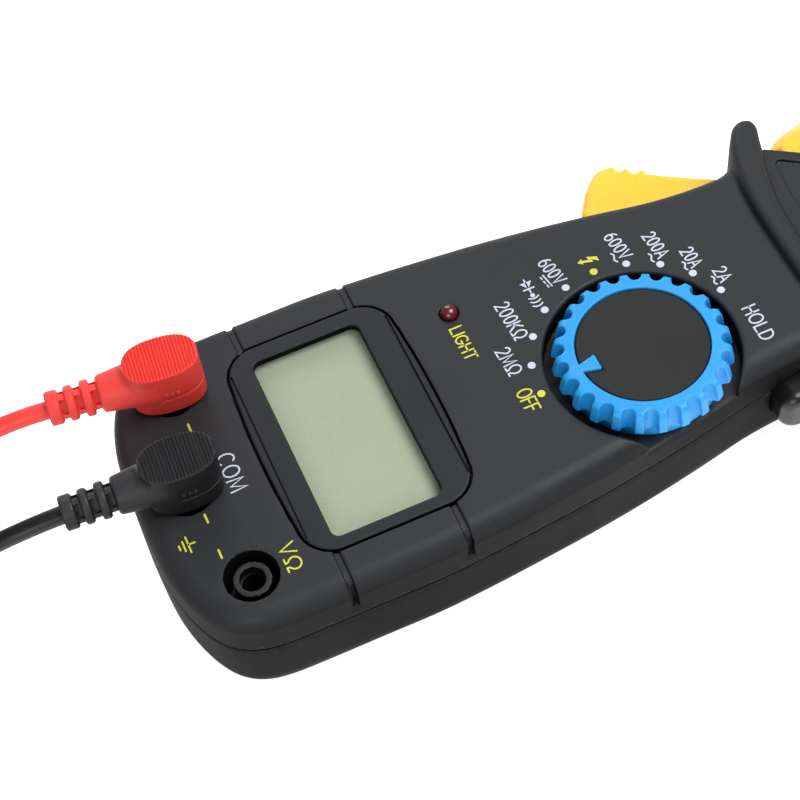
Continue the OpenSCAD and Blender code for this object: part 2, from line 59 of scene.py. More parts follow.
# ---------------------------------------------------------------- camera
cam_data = bpy.data.cameras.new("camera")
cam = link(bpy.data.objects.new("camera", cam_data))
R = np.array([[0.39623956, 0.91506435, -0.07517607], [0.75841927, -0.37235603, -0.53493102], [-0.51748857, 0.15494585, -0.84154463]])
C = row((175.67489, -42.59437, 287.04094))
m = Matrix(((R[0][0], -R[1][0], -R[2][0], C[0]), (R[0][1], -R[1][1], -R[2][1], C[1]), (R[0][2], -R[1][2], -R[2][2], C[2]), (0, 0, 0, 1)))
cam.matrix_world = m
cam_data.sensor_width = 36.0
cam_data.lens = 2057.16118 / 800 * 36.0
cam_data.clip_start = 0.01
cam_data.clip_end = 10
bpy.context.scene.camera = cam

# ---------------------------------------------------------------- materials
_nodes_made = {}


def mat(name, color, rough=0.5, tex=0.25, bump=0.1, var=0.08, spec=0.5, metal=0.0, coat=0.0, sheen=0.0, alpha=1.0, trans=0.0, ior=1.5, rough_var=0.08, scratches=0.0, aniso_dir=None, grain_depth=0.00003, edge=0.0, blotch=40.0, sss=0.0, painted_wall_shade=1.0):
    """Moulded or metal finish: grain of size tex mm as bump, slow colour and gloss variation, lighter worn edges, and
    optional painted shade that darkens the colour and gloss of side-facing walls.
    """
    m = bpy.data.materials.new(name)
    m.use_nodes = True
    nt = m.node_tree
    N, L = nt.nodes, nt.links
    bsdf = N["Principled BSDF"]
    co = N.new("ShaderNodeTexCoord")
    slow = N.new("ShaderNodeTexNoise")
    slow.inputs["Scale"].default_value = blotch
    slow.inputs["Detail"].default_value = 3
    L.new(co.outputs["Object"], slow.inputs["Vector"])
    fine = N.new("ShaderNodeTexNoise")
    fine.inputs["Scale"].default_value = 1000.0 / max(tex, 0.01)
    fine.inputs["Detail"].default_value = 3
    fine.inputs["Roughness"].default_value = 0.6
    if aniso_dir is not None:
        mp = N.new("ShaderNodeMapping")
        mp.inputs["Scale"].default_value = aniso_dir
        L.new(co.outputs["Object"], mp.inputs["Vector"])
        L.new(mp.outputs["Vector"], fine.inputs["Vector"])
    else:
        L.new(co.outputs["Object"], fine.inputs["Vector"])
    c = np.array(color[:3], float)
    ramp = N.new("ShaderNodeValToRGB")
    e = ramp.color_ramp.elements
    e[0].position, e[1].position = 0.3, 0.7
    e[0].color = (*np.clip(c * (1 - var), 0, 1), 1)
    e[1].color = (*np.clip(c * (1 + var), 0, 1), 1)
    L.new(slow.outputs["Fac"], ramp.inputs["Fac"])
    last = ramp.outputs["Color"]
    # grain colour: tiny light and dark specks
    speck = N.new("ShaderNodeMix")
    speck.data_type = "RGBA"
    speck.blend_type = "OVERLAY"
    speck.inputs["Factor"].default_value = 0.35
    gr = N.new("ShaderNodeValToRGB")
    gr.color_ramp.elements[0].position, gr.color_ramp.elements[1].position = 0.32, 0.68
    gr.color_ramp.elements[0].color = (0.36, 0.36, 0.36, 1)
    gr.color_ramp.elements[1].color = (0.64, 0.64, 0.64, 1)
    L.new(fine.outputs["Fac"], gr.inputs["Fac"])
    L.new(last, speck.inputs["A"])
    L.new(gr.outputs["Color"], speck.inputs["B"])
    last = speck.outputs["Result"]
    if edge > 0:
        geo = N.new("ShaderNodeNewGeometry")
        er = N.new("ShaderNodeValToRGB")
        er.color_ramp.elements[0].position, er.color_ramp.elements[1].position = 0.53, 0.62
        er.color_ramp.elements[0].color = (0, 0, 0, 1)
        er.color_ramp.elements[1].color = (1, 1, 1, 1)
        L.new(geo.outputs["Pointiness"], er.inputs["Fac"])
        em = N.new("ShaderNodeMix")
        em.data_type = "RGBA"
        mul = N.new("ShaderNodeMath")
        mul.operation = "MULTIPLY"
        mul.inputs[1].default_value = edge
        L.new(er.outputs["Color"], mul.inputs[0])
        L.new(mul.outputs[0], em.inputs["Factor"])
        L.new(last, em.inputs["A"])
        em.inputs["B"].default_value = (*np.clip(c * 1.6 + 0.03, 0, 1), 1)
        last = em.outputs["Result"]
    # painted shade: faces whose normal points sideways in the object's frame get darker colour and weaker specular,
    # standing in for the shade on walls and in recesses
    if painted_wall_shade < 1.0:
        sx = N.new("ShaderNodeSeparateXYZ")
        L.new(co.outputs["Normal"], sx.inputs["Vector"])
        wr = N.new("ShaderNodeMapRange")
        wr.inputs["From Min"].default_value = 0.1
        wr.inputs["From Max"].default_value = 0.85
        wr.inputs["To Min"].default_value = painted_wall_shade
        wr.inputs["To Max"].default_value = 1.0
        L.new(sx.outputs["Z"], wr.inputs["Value"])
        wm = N.new("ShaderNodeVectorMath")
        wm.operation = "SCALE"
        L.new(last, wm.inputs[0])
        L.new(wr.outputs["Result"], wm.inputs["Scale"])
        last = wm.outputs["Vector"]
        ws = N.new("ShaderNodeMath")
        ws.operation = "MULTIPLY"
        ws.inputs[1].default_value = spec
        L.new(wr.outputs["Result"], ws.inputs[0])
        L.new(ws.outputs[0], bsdf.inputs["Specular IOR Level"])
    L.new(last, bsdf.inputs["Base Color"])
    rr = N.new("ShaderNodeMapRange")
    rr.inputs["From Min"].default_value = 0.3
    rr.inputs["From Max"].default_value = 0.7
    rr.inputs["To Min"].default_value = max(rough - rough_var, 0.02)
    rr.inputs["To Max"].default_value = min(rough + rough_var, 1.0)
    L.new(slow.outputs["Fac"], rr.inputs["Value"])
    L.new(rr.outputs["Result"], bsdf.inputs["Roughness"])
    if bump > 0:
        b = N.new("ShaderNodeBump")
        b.inputs["Strength"].default_value = bump
        b.inputs["Distance"].default_value = grain_depth
        L.new(fine.outputs["Fac"], b.inputs["Height"])
        L.new(b.outputs["Normal"], bsdf.inputs["Normal"])
    bsdf.inputs["Metallic"].default_value = metal
    bsdf.inputs["IOR"].default_value = ior
    bsdf.inputs["Specular IOR Level"].default_value = spec
    bsdf.inputs["Coat Weight"].default_value = coat
    bsdf.inputs["Coat Roughness"].default_value = 0.2
    bsdf.inputs["Sheen Weight"].default_value = sheen
    bsdf.inputs["Alpha"].default_value = alpha
    bsdf.inputs["Transmission Weight"].default_value = trans
    if sss > 0:
        bsdf.inputs["Subsurface Weight"].default_value = sss
        bsdf.inputs["Subsurface Radius"].default_value = (0.002, 0.0006, 0.0004)
    return m


MAT = {
    # both case shells darken their side, groove and recess walls with painted shade, down to 0.2 of their colour
    "case_black": mat("case_black", (0.0215, 0.0225, 0.0255), rough=0.52, tex=0.36, bump=0.8, var=0.1, spec=0.28, edge=0.06, painted_wall_shade=0.2),
    "case_back": mat("case_back", (0.019, 0.0195, 0.022), rough=0.52, tex=0.36, bump=0.8, var=0.1, spec=0.28, edge=0.06, painted_wall_shade=0.2),
    # display frame: its inner window walls are darkened nearly to black with painted shade, down to 0.12 of its colour
    "frame_black": mat("frame_black", (0.015, 0.0162, 0.0195), rough=0.48, tex=0.28, bump=0.4, var=0.06, spec=0.27, edge=0.05, painted_wall_shade=0.12),
    "window_clear": mat("window_clear", (0.9, 0.95, 0.92), rough=0.04, tex=3, bump=0.0, var=0.01, alpha=0.06, rough_var=0.01),
    "lcd_grey": mat("lcd_grey", (0.315, 0.35, 0.225), rough=0.4, tex=0.15, bump=0.03, var=0.02, spec=0.3, blotch=25),
    "diffuser_white": mat("diffuser_white", (0.8, 0.8, 0.78), rough=0.6),
    "conductive_rubber": mat("conductive_rubber", (0.7, 0.42, 0.45), rough=0.7, tex=0.3, bump=0.3, aniso_dir=(1, 0.05, 0.05)),
    "board_green": mat("board_green", (0.012, 0.11, 0.035), rough=0.35, tex=0.6, bump=0.25, var=0.15, coat=0.3),
    "steel": mat("steel", (0.62, 0.62, 0.63), rough=0.28, tex=0.12, bump=0.15, metal=1.0, var=0.06, aniso_dir=(0.05, 1, 1)),
    "screw_dark": mat("screw_dark", (0.16, 0.16, 0.17), rough=0.35, tex=0.15, bump=0.2, metal=1.0, var=0.1),
    # jack sleeves: colour set far darker than brass, as painted shade down inside the sockets
    "brass": mat("brass", (0.10, 0.085, 0.06), rough=0.35, tex=0.15, bump=0.12, metal=1.0, var=0.08),
    "led_red": mat("led_red", (0.11, 0.004, 0.005), rough=0.12, tex=0.4, bump=0.04, var=0.15, coat=0.6, spec=0.6, sss=0.15),
    "knob_blue": mat("knob_blue", (0.022, 0.325, 0.76), rough=0.4, tex=0.3, bump=0.22, var=0.04, spec=0.4, sss=0.06),
    "knob_disc": mat("knob_disc", (0.0165, 0.0168, 0.0178), rough=0.62, tex=0.3, bump=0.5, var=0.06, spec=0.26),
    "rotor_ivory": mat("rotor_ivory", (0.78, 0.75, 0.66), rough=0.45),
    "button_black": mat("button_black", (0.006, 0.006, 0.007), rough=0.28, tex=0.4, bump=0.12, var=0.1, spec=0.5),
    "cell_green": mat("cell_green", (0.05, 0.13, 0.07), rough=0.3, tex=0.5, bump=0.1, metal=0.5, coat=0.4),
    "jaw_yellow": mat("jaw_yellow", (1.0, 0.60, 0.045), rough=0.42, tex=0.35, bump=0.25, var=0.025, spec=0.4, sss=0.05),
    "core_steel": mat("core_steel", (0.32, 0.32, 0.34), rough=0.35, tex=0.35, bump=0.5, metal=1.0, aniso_dir=(0.02, 0.02, 1)),
    "copper": mat("copper", (0.62, 0.25, 0.09), rough=0.3, tex=0.3, bump=0.6, metal=0.8, aniso_dir=(0.05, 1, 0.05)),
    "wire_red": mat("wire_red", (0.55, 0.02, 0.02), rough=0.45),
    "lead_red": mat("lead_red", (0.84, 0.05, 0.042), rough=0.42, tex=0.5, bump=0.12, var=0.05, spec=0.4, sss=0.08),
    "lead_black": mat("lead_black", (0.008, 0.008, 0.0095), rough=0.38, tex=0.5, bump=0.12, var=0.12, spec=0.35),
    "plug_red": mat("plug_red", (0.80, 0.055, 0.043), rough=0.5, tex=0.3, bump=0.35, var=0.05, spec=0.35, sss=0.1),
    # black plug: its sides are darkened with painted shade, down to 0.4 of its colour, against the brighter ribbed top
    "plug_black": mat("plug_black", (0.022, 0.022, 0.024), rough=0.45, tex=0.3, bump=0.4, var=0.15, spec=0.4, painted_wall_shade=0.4),
    "tie_grey": mat("tie_grey", (0.03, 0.03, 0.032), rough=0.5, tex=0.4, bump=0.3),
    "print_white": mat("print_white", (0.56, 0.60, 0.70), rough=0.5, tex=0.3, bump=0.2, var=0.05),
    "print_yellow": mat("print_yellow", (0.60, 0.63, 0.05), rough=0.5, tex=0.3, bump=0.2, var=0.05),
    "label_grey": mat("label_grey", (0.3, 0.3, 0.3), rough=0.5),
}

# ---------------------------------------------------------------- signed-distance modelling
def catmull(p, n, closed=True):
    p = np.array(p, float)
    out = []
    m = len(p)
    rng = range(m) if closed else range(m - 1)
    for i in rng:
        a, b, c, d = (p[(i - 1) % m], p[i], p[(i + 1) % m], p[(i + 2) % m]) if closed else (p[max(i - 1, 0)], p[i], p[i + 1], p[min(i + 2, m - 1)])
        for j in range(n):
            t = j / n
            out.append(0.5 * (2 * b + (c - a) * t + (2 * a - 5 * b + 4 * c - d) * t * t + (3 * b - a - 3 * c + d) * t ** 3))
    if not closed:
        out.append(p[-1])
    return np.array(out)


class Poly:
    """Signed distance to a closed outline, kept on a fine plan grid."""

    def __init__(self, pts, step=0.2, pad=8.0):
        P = np.array(pts, float)
        self.lo = P.min(0) - pad
        self.step = step
        n = np.ceil((P.max(0) + pad - self.lo) / step).astype(int) + 2
        X = self.lo[0] + step * np.arange(n[0])[:, None]
        Y = self.lo[1] + step * np.arange(n[1])[None, :]
        best = np.full((n[0], n[1]), 1e9)
        inside = np.zeros((n[0], n[1]), bool)
        Q = np.roll(P, -1, 0)
        for a, b in zip(P, Q):
            e = b - a
            l2 = e @ e
            if l2 < 1e-12:
                continue
            wx, wy = X - a[0], Y - a[1]
            t = np.clip((wx * e[0] + wy * e[1]) / l2, 0, 1)
            best = np.minimum(best, (wx - t * e[0]) ** 2 + (wy - t * e[1]) ** 2)
            c = ((a[1] > Y) != (b[1] > Y)) & (X < (b[0] - a[0]) * (Y - a[1]) / (b[1] - a[1] if b[1] != a[1] else 1e-9) + a[0])
            inside ^= c
        self.g = (np.sqrt(best) * np.where(inside, -1, 1)).astype(np.float32)
        self.n = n

    def __call__(self, x, y):
        u = np.clip((x - self.lo[0]) / self.step, 0, self.n[0] - 1.001)
        v = np.clip((y - self.lo[1]) / self.step, 0, self.n[1] - 1.001)
        i, j = np.floor(u).astype(int), np.floor(v).astype(int)
        fu, fv = u - i, v - j
        g = self.g
        d = g[i, j] * (1 - fu) * (1 - fv) + g[i + 1, j] * fu * (1 - fv) + g[i, j + 1] * (1 - fu) * fv + g[i + 1, j + 1] * fu * fv
        ox = np.maximum(np.maximum(self.lo[0] - x, x - (self.lo[0] + self.step * (self.n[0] - 1))), 0)
        oy = np.maximum(np.maximum(self.lo[1] - y, y - (self.lo[1] + self.step * (self.n[1] - 1))), 0)
        return d + np.sqrt(ox * ox + oy * oy)


def smin(a, b, k):
    h = np.clip(0.5 + 0.5 * (b - a) / k, 0, 1)
    return b * (1 - h) + a * h - k * h * (1 - h)


def smax(a, b, k):
    return -smin(-a, -b, k)


def cut(f, g, k=0.25):
    return smax(f, -g, k)


def rbox2(x, y, hx, hy, r):
    qx, qy = np.abs(x) - hx + r, np.abs(y) - hy + r
    return np.minimum(np.maximum(qx, qy), 0) + np.sqrt(np.maximum(qx, 0) ** 2 + np.maximum(qy, 0) ** 2) - r


def round_and(a, b, r):
    """Both a and b inside, their shared edge rounded to radius r."""
    a, b = a + r, b + r
    return np.minimum(np.maximum(a, b), 0) + np.sqrt(np.maximum(a, 0) ** 2 + np.maximum(b, 0) ** 2) - r


def chamfer_and(a, b, c):
    return np.maximum(np.maximum(a, b), (a + b + c) * 0.70711)


def slabz(d2, z, z0, z1, r0=0.0, r1=0.0):
    f = round_and(d2, z - z1, r1) if r1 > 0 else np.maximum(d2, z - z1)
    return round_and(f, z0 - z, r0) if r0 > 0 else np.maximum(f, z0 - z)


def nets(f, lo, hi, h, name, project=2, decimate=None, smooth_angle=40):
    """Surface of f = 0 as a closed mesh."""
    xs = np.arange(lo[0], hi[0] + h, h)
    ys = np.arange(lo[1], hi[1] + h, h)
    zs = np.arange(lo[2], hi[2] + h, h)
    V = np.empty((len(xs), len(ys), len(zs)), np.float32)
    step = 40
    for i in range(0, len(xs), step):
        V[i:i + step] = np.broadcast_to(f(xs[i:i + step, None, None], ys[None, :, None], zs[None, None, :]), (len(xs[i:i + step]), len(ys), len(zs)))
    V[0], V[-1], V[:, 0], V[:, -1], V[:, :, 0], V[:, :, -1] = h, h, h, h, h, h
    V[V == 0] = 1e-6
    S = V < 0
    cnt = np.zeros(tuple(s - 1 for s in S.shape), np.int8)
    for a in (0, 1):
        for b in (0, 1):
            for c in (0, 1):
                cnt += S[a:S.shape[0] - 1 + a, b:S.shape[1] - 1 + b, c:S.shape[2] - 1 + c]
    act = (cnt > 0) & (cnt < 8)
    idx = np.full(act.shape, -1, np.int64)
    I, J, K = np.nonzero(act)
    idx[I, J, K] = np.arange(len(I))
    acc = np.zeros((len(I), 3))
    num = np.zeros(len(I))
    corners = [(a, b, c) for a in (0, 1) for b in (0, 1) for c in (0, 1)]
    for p in corners:
        for ax in range(3):
            if p[ax]:
                continue
            q = list(p)
            q[ax] = 1
            va = V[I + p[0], J + p[1], K + p[2]]
            vb = V[I + q[0], J + q[1], K + q[2]]
            s = (va < 0) != (vb < 0)
            t = np.where(s, va / np.where(va == vb, 1, va - vb), 0)
            base = np.array(p, float)[None, :] + np.outer(t, np.eye(3)[ax])
            acc += base * s[:, None]
            num += s
    pos = acc / num[:, None] + np.stack([I, J, K], 1)
    P = np.stack([xs[0] + h * pos[:, 0], ys[0] + h * pos[:, 1], zs[0] + h * pos[:, 2]], 1)
    quads = []
    for ax in range(3):
        o1, o2 = [(1, 2), (2, 0), (0, 1)][ax]
        sl0 = [slice(1, -1)] * 3
        sl0[ax] = slice(0, -1)
        sl1 = list(sl0)
        sl1[ax] = slice(1, None)
        a, b = S[tuple(sl0)], S[tuple(sl1)]
        for flip in (False, True):
            E = np.argwhere(a & ~b) if not flip else np.argwhere(~a & b)
            if len(E) == 0:
                continue
            off = np.ones(3, int)
            off[ax] = 0
            E = E + off
            d1, d2 = np.zeros(3, int), np.zeros(3, int)
            d1[o1], d2[o2] = 1, 1
            c = [E - d1 - d2, E - d2, E, E - d1]
            q = np.stack([idx[tuple(k.T)] for k in c], 1)
            quads.append(q if not flip else q[:, ::-1])
    Q = np.concatenate(quads)
    Q = Q[(Q >= 0).all(1)]
    for _ in range(project):
        e = 0.02
        d = f(P[:, 0], P[:, 1], P[:, 2])
        g = np.stack([f(P[:, 0] + e, P[:, 1], P[:, 2]) - d, f(P[:, 0], P[:, 1] + e, P[:, 2]) - d, f(P[:, 0], P[:, 1], P[:, 2] + e) - d], 1) / e
        n2 = np.maximum((g * g).sum(1), 0.3)
        stepv = g * (d / n2)[:, None]
        ln = np.linalg.norm(stepv, axis=1)
        stepv *= np.minimum(1, 0.6 * h / np.maximum(ln, 1e-9))[:, None]
        P = P - stepv
    return mesh_obj(name, P, Q, decimate, smooth_angle)


def mesh_obj(name, P, F, decimate=None, smooth_angle=40):
    """Object from points in millimetres from the display centre, and faces of equal size."""
    me = bpy.data.meshes.new(name)
    P = (np.asarray(P, float) + np.array([OX, OY, OZ])) / 1000.0
    F = np.asarray(F)
    k = F.shape[1]
    me.vertices.add(len(P))
    me.vertices.foreach_set("co", P.astype(np.float32).ravel())
    me.loops.add(F.size)
    me.loops.foreach_set("vertex_index", F.astype(np.int32).ravel())
    me.polygons.add(len(F))
    me.polygons.foreach_set("loop_start", np.arange(0, F.size, k, dtype=np.int32))
    me.update(calc_edges=True)
    me.validate()
    o = link(bpy.data.objects.new(name, me))
    if decimate:
        md = o.modifiers.new("d", "DECIMATE")
        md.ratio = decimate
        dg = bpy.context.evaluated_depsgraph_get()
        new = bpy.data.meshes.new_from_object(o.evaluated_get(dg))
        o.modifiers.clear()
        o.data = new
        me = new
    me.polygons.foreach_set("use_smooth", np.ones(len(me.polygons), bool))
    me.set_sharp_from_angle(angle=math.radians(smooth_angle))
    return o


def lathe(name, prof, n=64, at=(0, 0, 0), axis="z", closed_ends=True):
    """Turned solid: prof is (radius, height) from one end to the other, both ends on the axis or open to be capped."""
    prof = [tuple(map(float, p)) for p in prof]
    P, F = [], []
    for r, z in prof:
        for k in range(n):
            a = 2 * math.pi * k / n
            P.append((r * math.cos(a), r * math.sin(a), z))
    mct = len(prof)
    tris = []
    for i in range(mct - 1):
        for k in range(n):
            a, b = i * n + k, i * n + (k + 1) % n
            tris.append((a, b, b + n))
            tris.append((a, b + n, a + n))
    c0, c1 = len(P), len(P) + 1
    P.append((0, 0, prof[0][1]))
    P.append((0, 0, prof[-1][1]))
    for k in range(n):
        tris.append((c0, (k + 1) % n, k))
        tris.append((c1, (mct - 1) * n + k, (mct - 1) * n + (k + 1) % n))
    P = np.array(P)
    if axis == "x":
        P = P[:, [2, 0, 1]]
    elif axis == "-x":
        P = np.stack([-P[:, 2], -P[:, 0], P[:, 1]], 1)
    elif axis == "y":
        P = P[:, [1, 2, 0]]
    P = P + np.array(at, float)
    return mesh_obj(name, P, tris)


def finish_piece(o, body, material, replaces=()):
    o.data.materials.clear()
    o.data.materials.append(MAT[material])
    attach(o, body)
    if replaces:
        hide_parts(*replaces)
    return o


# ---------------------------------------------------------------- outlines (millimetres)
half_body = [(0, -37), (9, -36.7), (15, -35.7), (20.4, -33.8), (24.4, -31.2), (26.8, -27.6), (27.8, -23), (28, -16), (28, -6), (28, 4), (27.4, 14), (26.4, 25), (25.2, 36), (23.6, 47), (21.8, 57), (20.2, 65), (19.4, 72), (19.2, 78)]
hb = catmull(half_body, 4, closed=False)
hb = np.concatenate([hb, [(19.4, 83), (19.4, 84.5)]])
body_pts = np.concatenate([hb, (hb * [-1, 1])[::-1][:-1]])
B = Poly(body_pts)
jaw_out = [(-22.6, 92), (-24.4, 95.6), (-26, 101), (-28, 107.5), (-29.8, 115), (-30.4, 122), (-29.4, 130), (-26.4, 137.5), (-21.6, 143.6), (-15.4, 148), (-8, 150.4), (-0.3, 151)]
jo = catmull(jaw_out, 4, closed=False)
WIN = (0, 119.5, 18.5)
G = Poly(catmull([(0, 80.5), (8, 80.6), (15, 81.1), (21, 82.4), (25.6, 84.2), (28, 85.6), (28.7, 87), (27.8, 88.3), (26, 88.3), (21, 87), (15, 85.9), (7, 85.2), (0, 85), (-7, 85.3), (-15, 86.8), (-20.5, 88.6), (-22.8, 89.3), (-25.0, 90.0), (-26.7, 89.6), (-27.4, 88.0), (-26.8, 86.2), (-24.9, 84.7), (-21.3, 83.0), (-15, 81.3), (-8, 80.6)], 3))
HEAD = Poly(np.concatenate([[(-20, 84), (20, 84)], jo * [-1, 1], [(0.3, 112), (-12.4, 108), (-14.5, 101), (-18, 95), (-21.6, 89.6)]]))
ARM_SPACE = Poly([(-40, 50.5), (-12, 47.5), (-5.4, 50), (-5.4, 60), (3.4, 80.5), (4, 92), (-23.4, 92), (-22.5, 87), (-20.6, 84), (-40, 84)])
ROOT_SPACE = Poly([(-40, 88.5), (-25, 88.5), (-22.9, 86.9), (4, 86.9), (4, 98), (0.3, 101.5), (0.3, 160), (-40, 160)])
KN = (8.5, 50.3)
LED = (-13.2, 24.7)
PIV = (-10.0, 92.0)
JACKS = [(-19, -24), (0, -28), (19, -24)]
CASE_AT = [(-22, -16.5), (22, -16.5), (-15, 40.5), (7, 76)]


def plate2(x, y, w, h, bow, r):
    """Rounded rectangle whose two long sides bow out."""
    Rr = (w * w / 4 + bow * bow) / (2 * bow)
    k = Rr - h / 2 - bow
    arc = np.maximum(np.sqrt(x * x + (y + k) ** 2) - Rr, np.sqrt(x * x + (y - k) ** 2) - Rr)
    a, b = np.abs(x) - w / 2 + r, arc + r
    return np.minimum(np.maximum(a, b), 0) + np.sqrt(np.maximum(a, 0) ** 2 + np.maximum(b, 0) ** 2) - r


def cyl(x, y, p, r):
    return np.sqrt((x - p[0]) ** 2 + (y - p[1]) ** 2) - r


def plan_with_guard(x, y, k=4.5):
    return smin(B(x, y), G(x, y) + 0.0, k)


SEAM = -10.0


def front_f(x, y, z):
    b2, g2, h2 = B(x, y), G(x, y), HEAD(x, y)
    win = cyl(x, y, WIN, WIN[2])
    body = round_and(smin(b2, g2 + 0.5, 4.5), z, 2.8 + 0.8 * np.tanh(x / 6.0))
    guard = round_and(g2, z - 2.0, 1.7)
    head2 = smax(h2, -win, 0.3)
    head = round_and(head2, z + 0.9, 0.8)
    f = smin(body, guard, 1.0)
    f = smin(f, head, 0.5)
    # seam reveal
    plan = np.minimum(smin(b2, g2, 4.5), head2)
    f = smax(f, np.minimum(plan + 1.25, SEAM + 0.85 - z), 0.1)
    f = np.maximum(f, SEAM - z)
    skin = f
    # sunk panel inside a border on the head
    panel = np.maximum(round_and(head2 + 2.4, 88.6 + 0.004 * x * x - y, 1.2), -(z + 1.5))
    panel = np.maximum(panel, y - 104)
    f = cut(f, panel, 0.3)
    # hollow, less cup, walls and posts
    cav = np.maximum(b2 + 2, z + 2.0)
    cav = np.minimum(cav, np.maximum(np.maximum(np.abs(x) - 16, np.abs(y - 82.6) - 3.6), z + 3))
    cup = np.maximum(cyl(x, y, KN, 18.5), -7.2 - z)
    cav = np.maximum(cav, -cup)
    for j in JACKS:
        cav = np.maximum(cav, -np.maximum(cyl(x, y, j, 6.05), -9.9 - z))
    for p in CASE_AT:
        cav = np.maximum(cav, -cyl(x, y, p, 3.2))
    well = np.maximum(rbox2(x, y, 21.5, 13.6, 0.5), -9.9 - z)
    cav = np.maximum(cav, -well)
    f = np.maximum(f, -cav)
    f = np.maximum(f, -np.maximum(ARM_SPACE(x, y), z + 6.9))
    rs = np.maximum(ROOT_SPACE(x, y), z + 3.6)
    rs = np.maximum(rs, -np.maximum(cyl(x, y, PIV, 4), -7.2 - z))
    f = np.maximum(f, -rs)
    f = np.maximum(f, -np.maximum(np.maximum(np.abs(win + 18.5 - 23.5) - 3.2, z + 8.3), 0.3 - x + 0 * y))
    # display pocket and well
    f = cut(f, np.maximum(plate2(x + 0.42, y - 0.55, 42.9, 29.0, 1.3, 5.4), -1.5 - z), 0.22)
    f = np.maximum(f, -np.maximum(rbox2(x, y, 20, 12, 0.4), -9.9 - z))
    # channels from the display out to the sides and down the walls
    for s in (-1, 1):
        for yy in (-10.3, 10.1):
            ch = np.maximum(np.maximum(np.abs(y - yy) - 0.58, -(skin + (0.5 if s > 0 else 0.4))), np.maximum(20.8 - s * x, -6.6 - z))
            if s > 0:
                ch = np.minimum(ch, np.maximum(np.maximum(np.abs(y - yy - 0.2) - 0.28, -(skin + 1.1)), np.maximum(26.6 - x, -6.6 - z)))
            f = cut(f, ch, 0.25)
    # knob recess, shaft hole
    f = cut(f, np.maximum(cyl(x, y, KN, 16.5), -4.3 - z), 0.9)
    f = np.maximum(f, -np.maximum(cyl(x, y, KN, 4.2), -9 - z))
    # jacks
    for j in JACKS:
        rho = cyl(x, y, j, 0)
        ring = np.maximum(np.abs(rho - 3.85) - 0.7, -8 - z)
        top = np.maximum(rho - 4.0, -1.1 - z)
        f = cut(f, np.minimum(ring, top), 0.15)
        f = cut(f, np.maximum(rho - 2.17, -4 - z), 0.12)
        f = np.maximum(f, -np.maximum(rho - 2.7, z + 3.2))
    # indicator hole with a soft countersink
    f = cut(f, cyl(x, y, LED, 1.66), 0.35)
    for p in CASE_AT:
        f = np.maximum(f, -np.maximum(cyl(x, y, p, 1.2), z + 3))
    f = np.maximum(f, -np.maximum(cyl(x, y, PIV, 2.0), z + 3))
    # scoop round the side button and its opening
    sc = (np.sqrt(((x - 26.2) / 8.4) ** 2 + ((y - 75.9) / 10.0) ** 2 + ((z + 12.6) / 9.8) ** 2) - 1) * 8.0
    f = smax(f, -sc, 1.2)
    hb_ = np.maximum(rbox2(z + 13, y - 74.8, 4.7, 5.4, 3.0), 11.5 - x)
    f = cut(f, hb_, 0.25)
    return f


def back_f(x, y, z):
    b2, g2, h2 = B(x, y), G(x, y), HEAD(x, y)
    win = cyl(x, y, WIN, WIN[2])
    body = round_and(smin(b2, g2 + 0.5, 4.5), -26 - z, 7.4)
    guard = round_and(g2 + 0.1, -25 - z, 2.5)
    head2 = smax(h2, -win, 0.3)
    head = round_and(head2, -24.5 - z, 2.0)
    f = np.minimum(smin(body, guard, 1.0), head)
    plan = np.minimum(smin(b2, g2, 4.5), head2)
    f = round_and(f, z - SEAM, 0.3)
    cav = round_and(b2 + 2, -24 - z, 4.0)
    cav = np.minimum(cav, np.maximum(np.maximum(np.abs(x) - 16, np.abs(y - 82.6) - 3.6), -22 - z))
    for p in CASE_AT:
        cav = np.maximum(cav, -cyl(x, y, p, 3.2))
    cav = np.maximum(cav, -np.maximum(cyl(x, y, (0, -12.2), 3.0), z + 20))
    cav = np.maximum(cav, -np.maximum(np.maximum(cyl(x, y, PIV, 4.0), z + 17.9), -30 - z))
    bay = np.maximum(np.maximum(np.abs(x) - 27, np.abs(y - 3.55) - 13.45), z + 17)
    bay = np.maximum(bay, -np.maximum(np.abs(x) - 25, np.abs(y - 3.5) - 12.3))
    cav = np.maximum(cav, -bay)
    f = np.maximum(f, -cav)
    f = np.maximum(f, -np.maximum(ARM_SPACE(x, y), -18.2 - z))
    rs = np.maximum(ROOT_SPACE(x, y), -21.6 - z)
    rs = np.maximum(rs, -np.maximum(cyl(x, y, PIV, 4), z + 17.9))
    f = np.maximum(f, -rs)
    f = np.maximum(f, -np.maximum(np.maximum(np.abs(win + 18.5 - 23.5) - 3.2, -16.7 - z), 0.3 - x + 0 * y))
    seat = np.minimum(np.maximum(np.abs(x) - 23.6, np.abs(y - 3.5) - 12.7), np.maximum(np.abs(x) - 5.2, np.abs(y + 12.35) - 3.35))
    f = np.maximum(f, -np.maximum(seat, z + 24.8))
    f = np.maximum(f, -np.maximum(np.maximum(np.abs(x) - 22, np.abs(y - 3.5) - 11.3), z + 22))
    f = np.maximum(f, -np.maximum(cyl(x, y, (0, -12.2), 1.0), z + 20.5))
    for p in CASE_AT:
        f = np.maximum(f, -cyl(x, y, p, 1.6))
        f = cut(f, np.maximum(cyl(x, y, p, 2.9), z + 22), 0.2)
    f = np.maximum(f, -np.maximum(cyl(x, y, PIV, 2.0), -23 - z))
    for s in (-1, 1):
        for yy in (-10.3, 10.1):
            pass
    sc = (np.sqrt(((x - 26.2) / 8.4) ** 2 + ((y - 75.9) / 10.0) ** 2 + ((z + 12.6) / 9.8) ** 2) - 1) * 8.0
    f = smax(f, -sc, 1.2)
    hb_ = np.maximum(rbox2(z + 13, y - 74.8, 4.7, 5.4, 3.0), 11.5 - x)
    f = cut(f, hb_, 0.25)
    return f


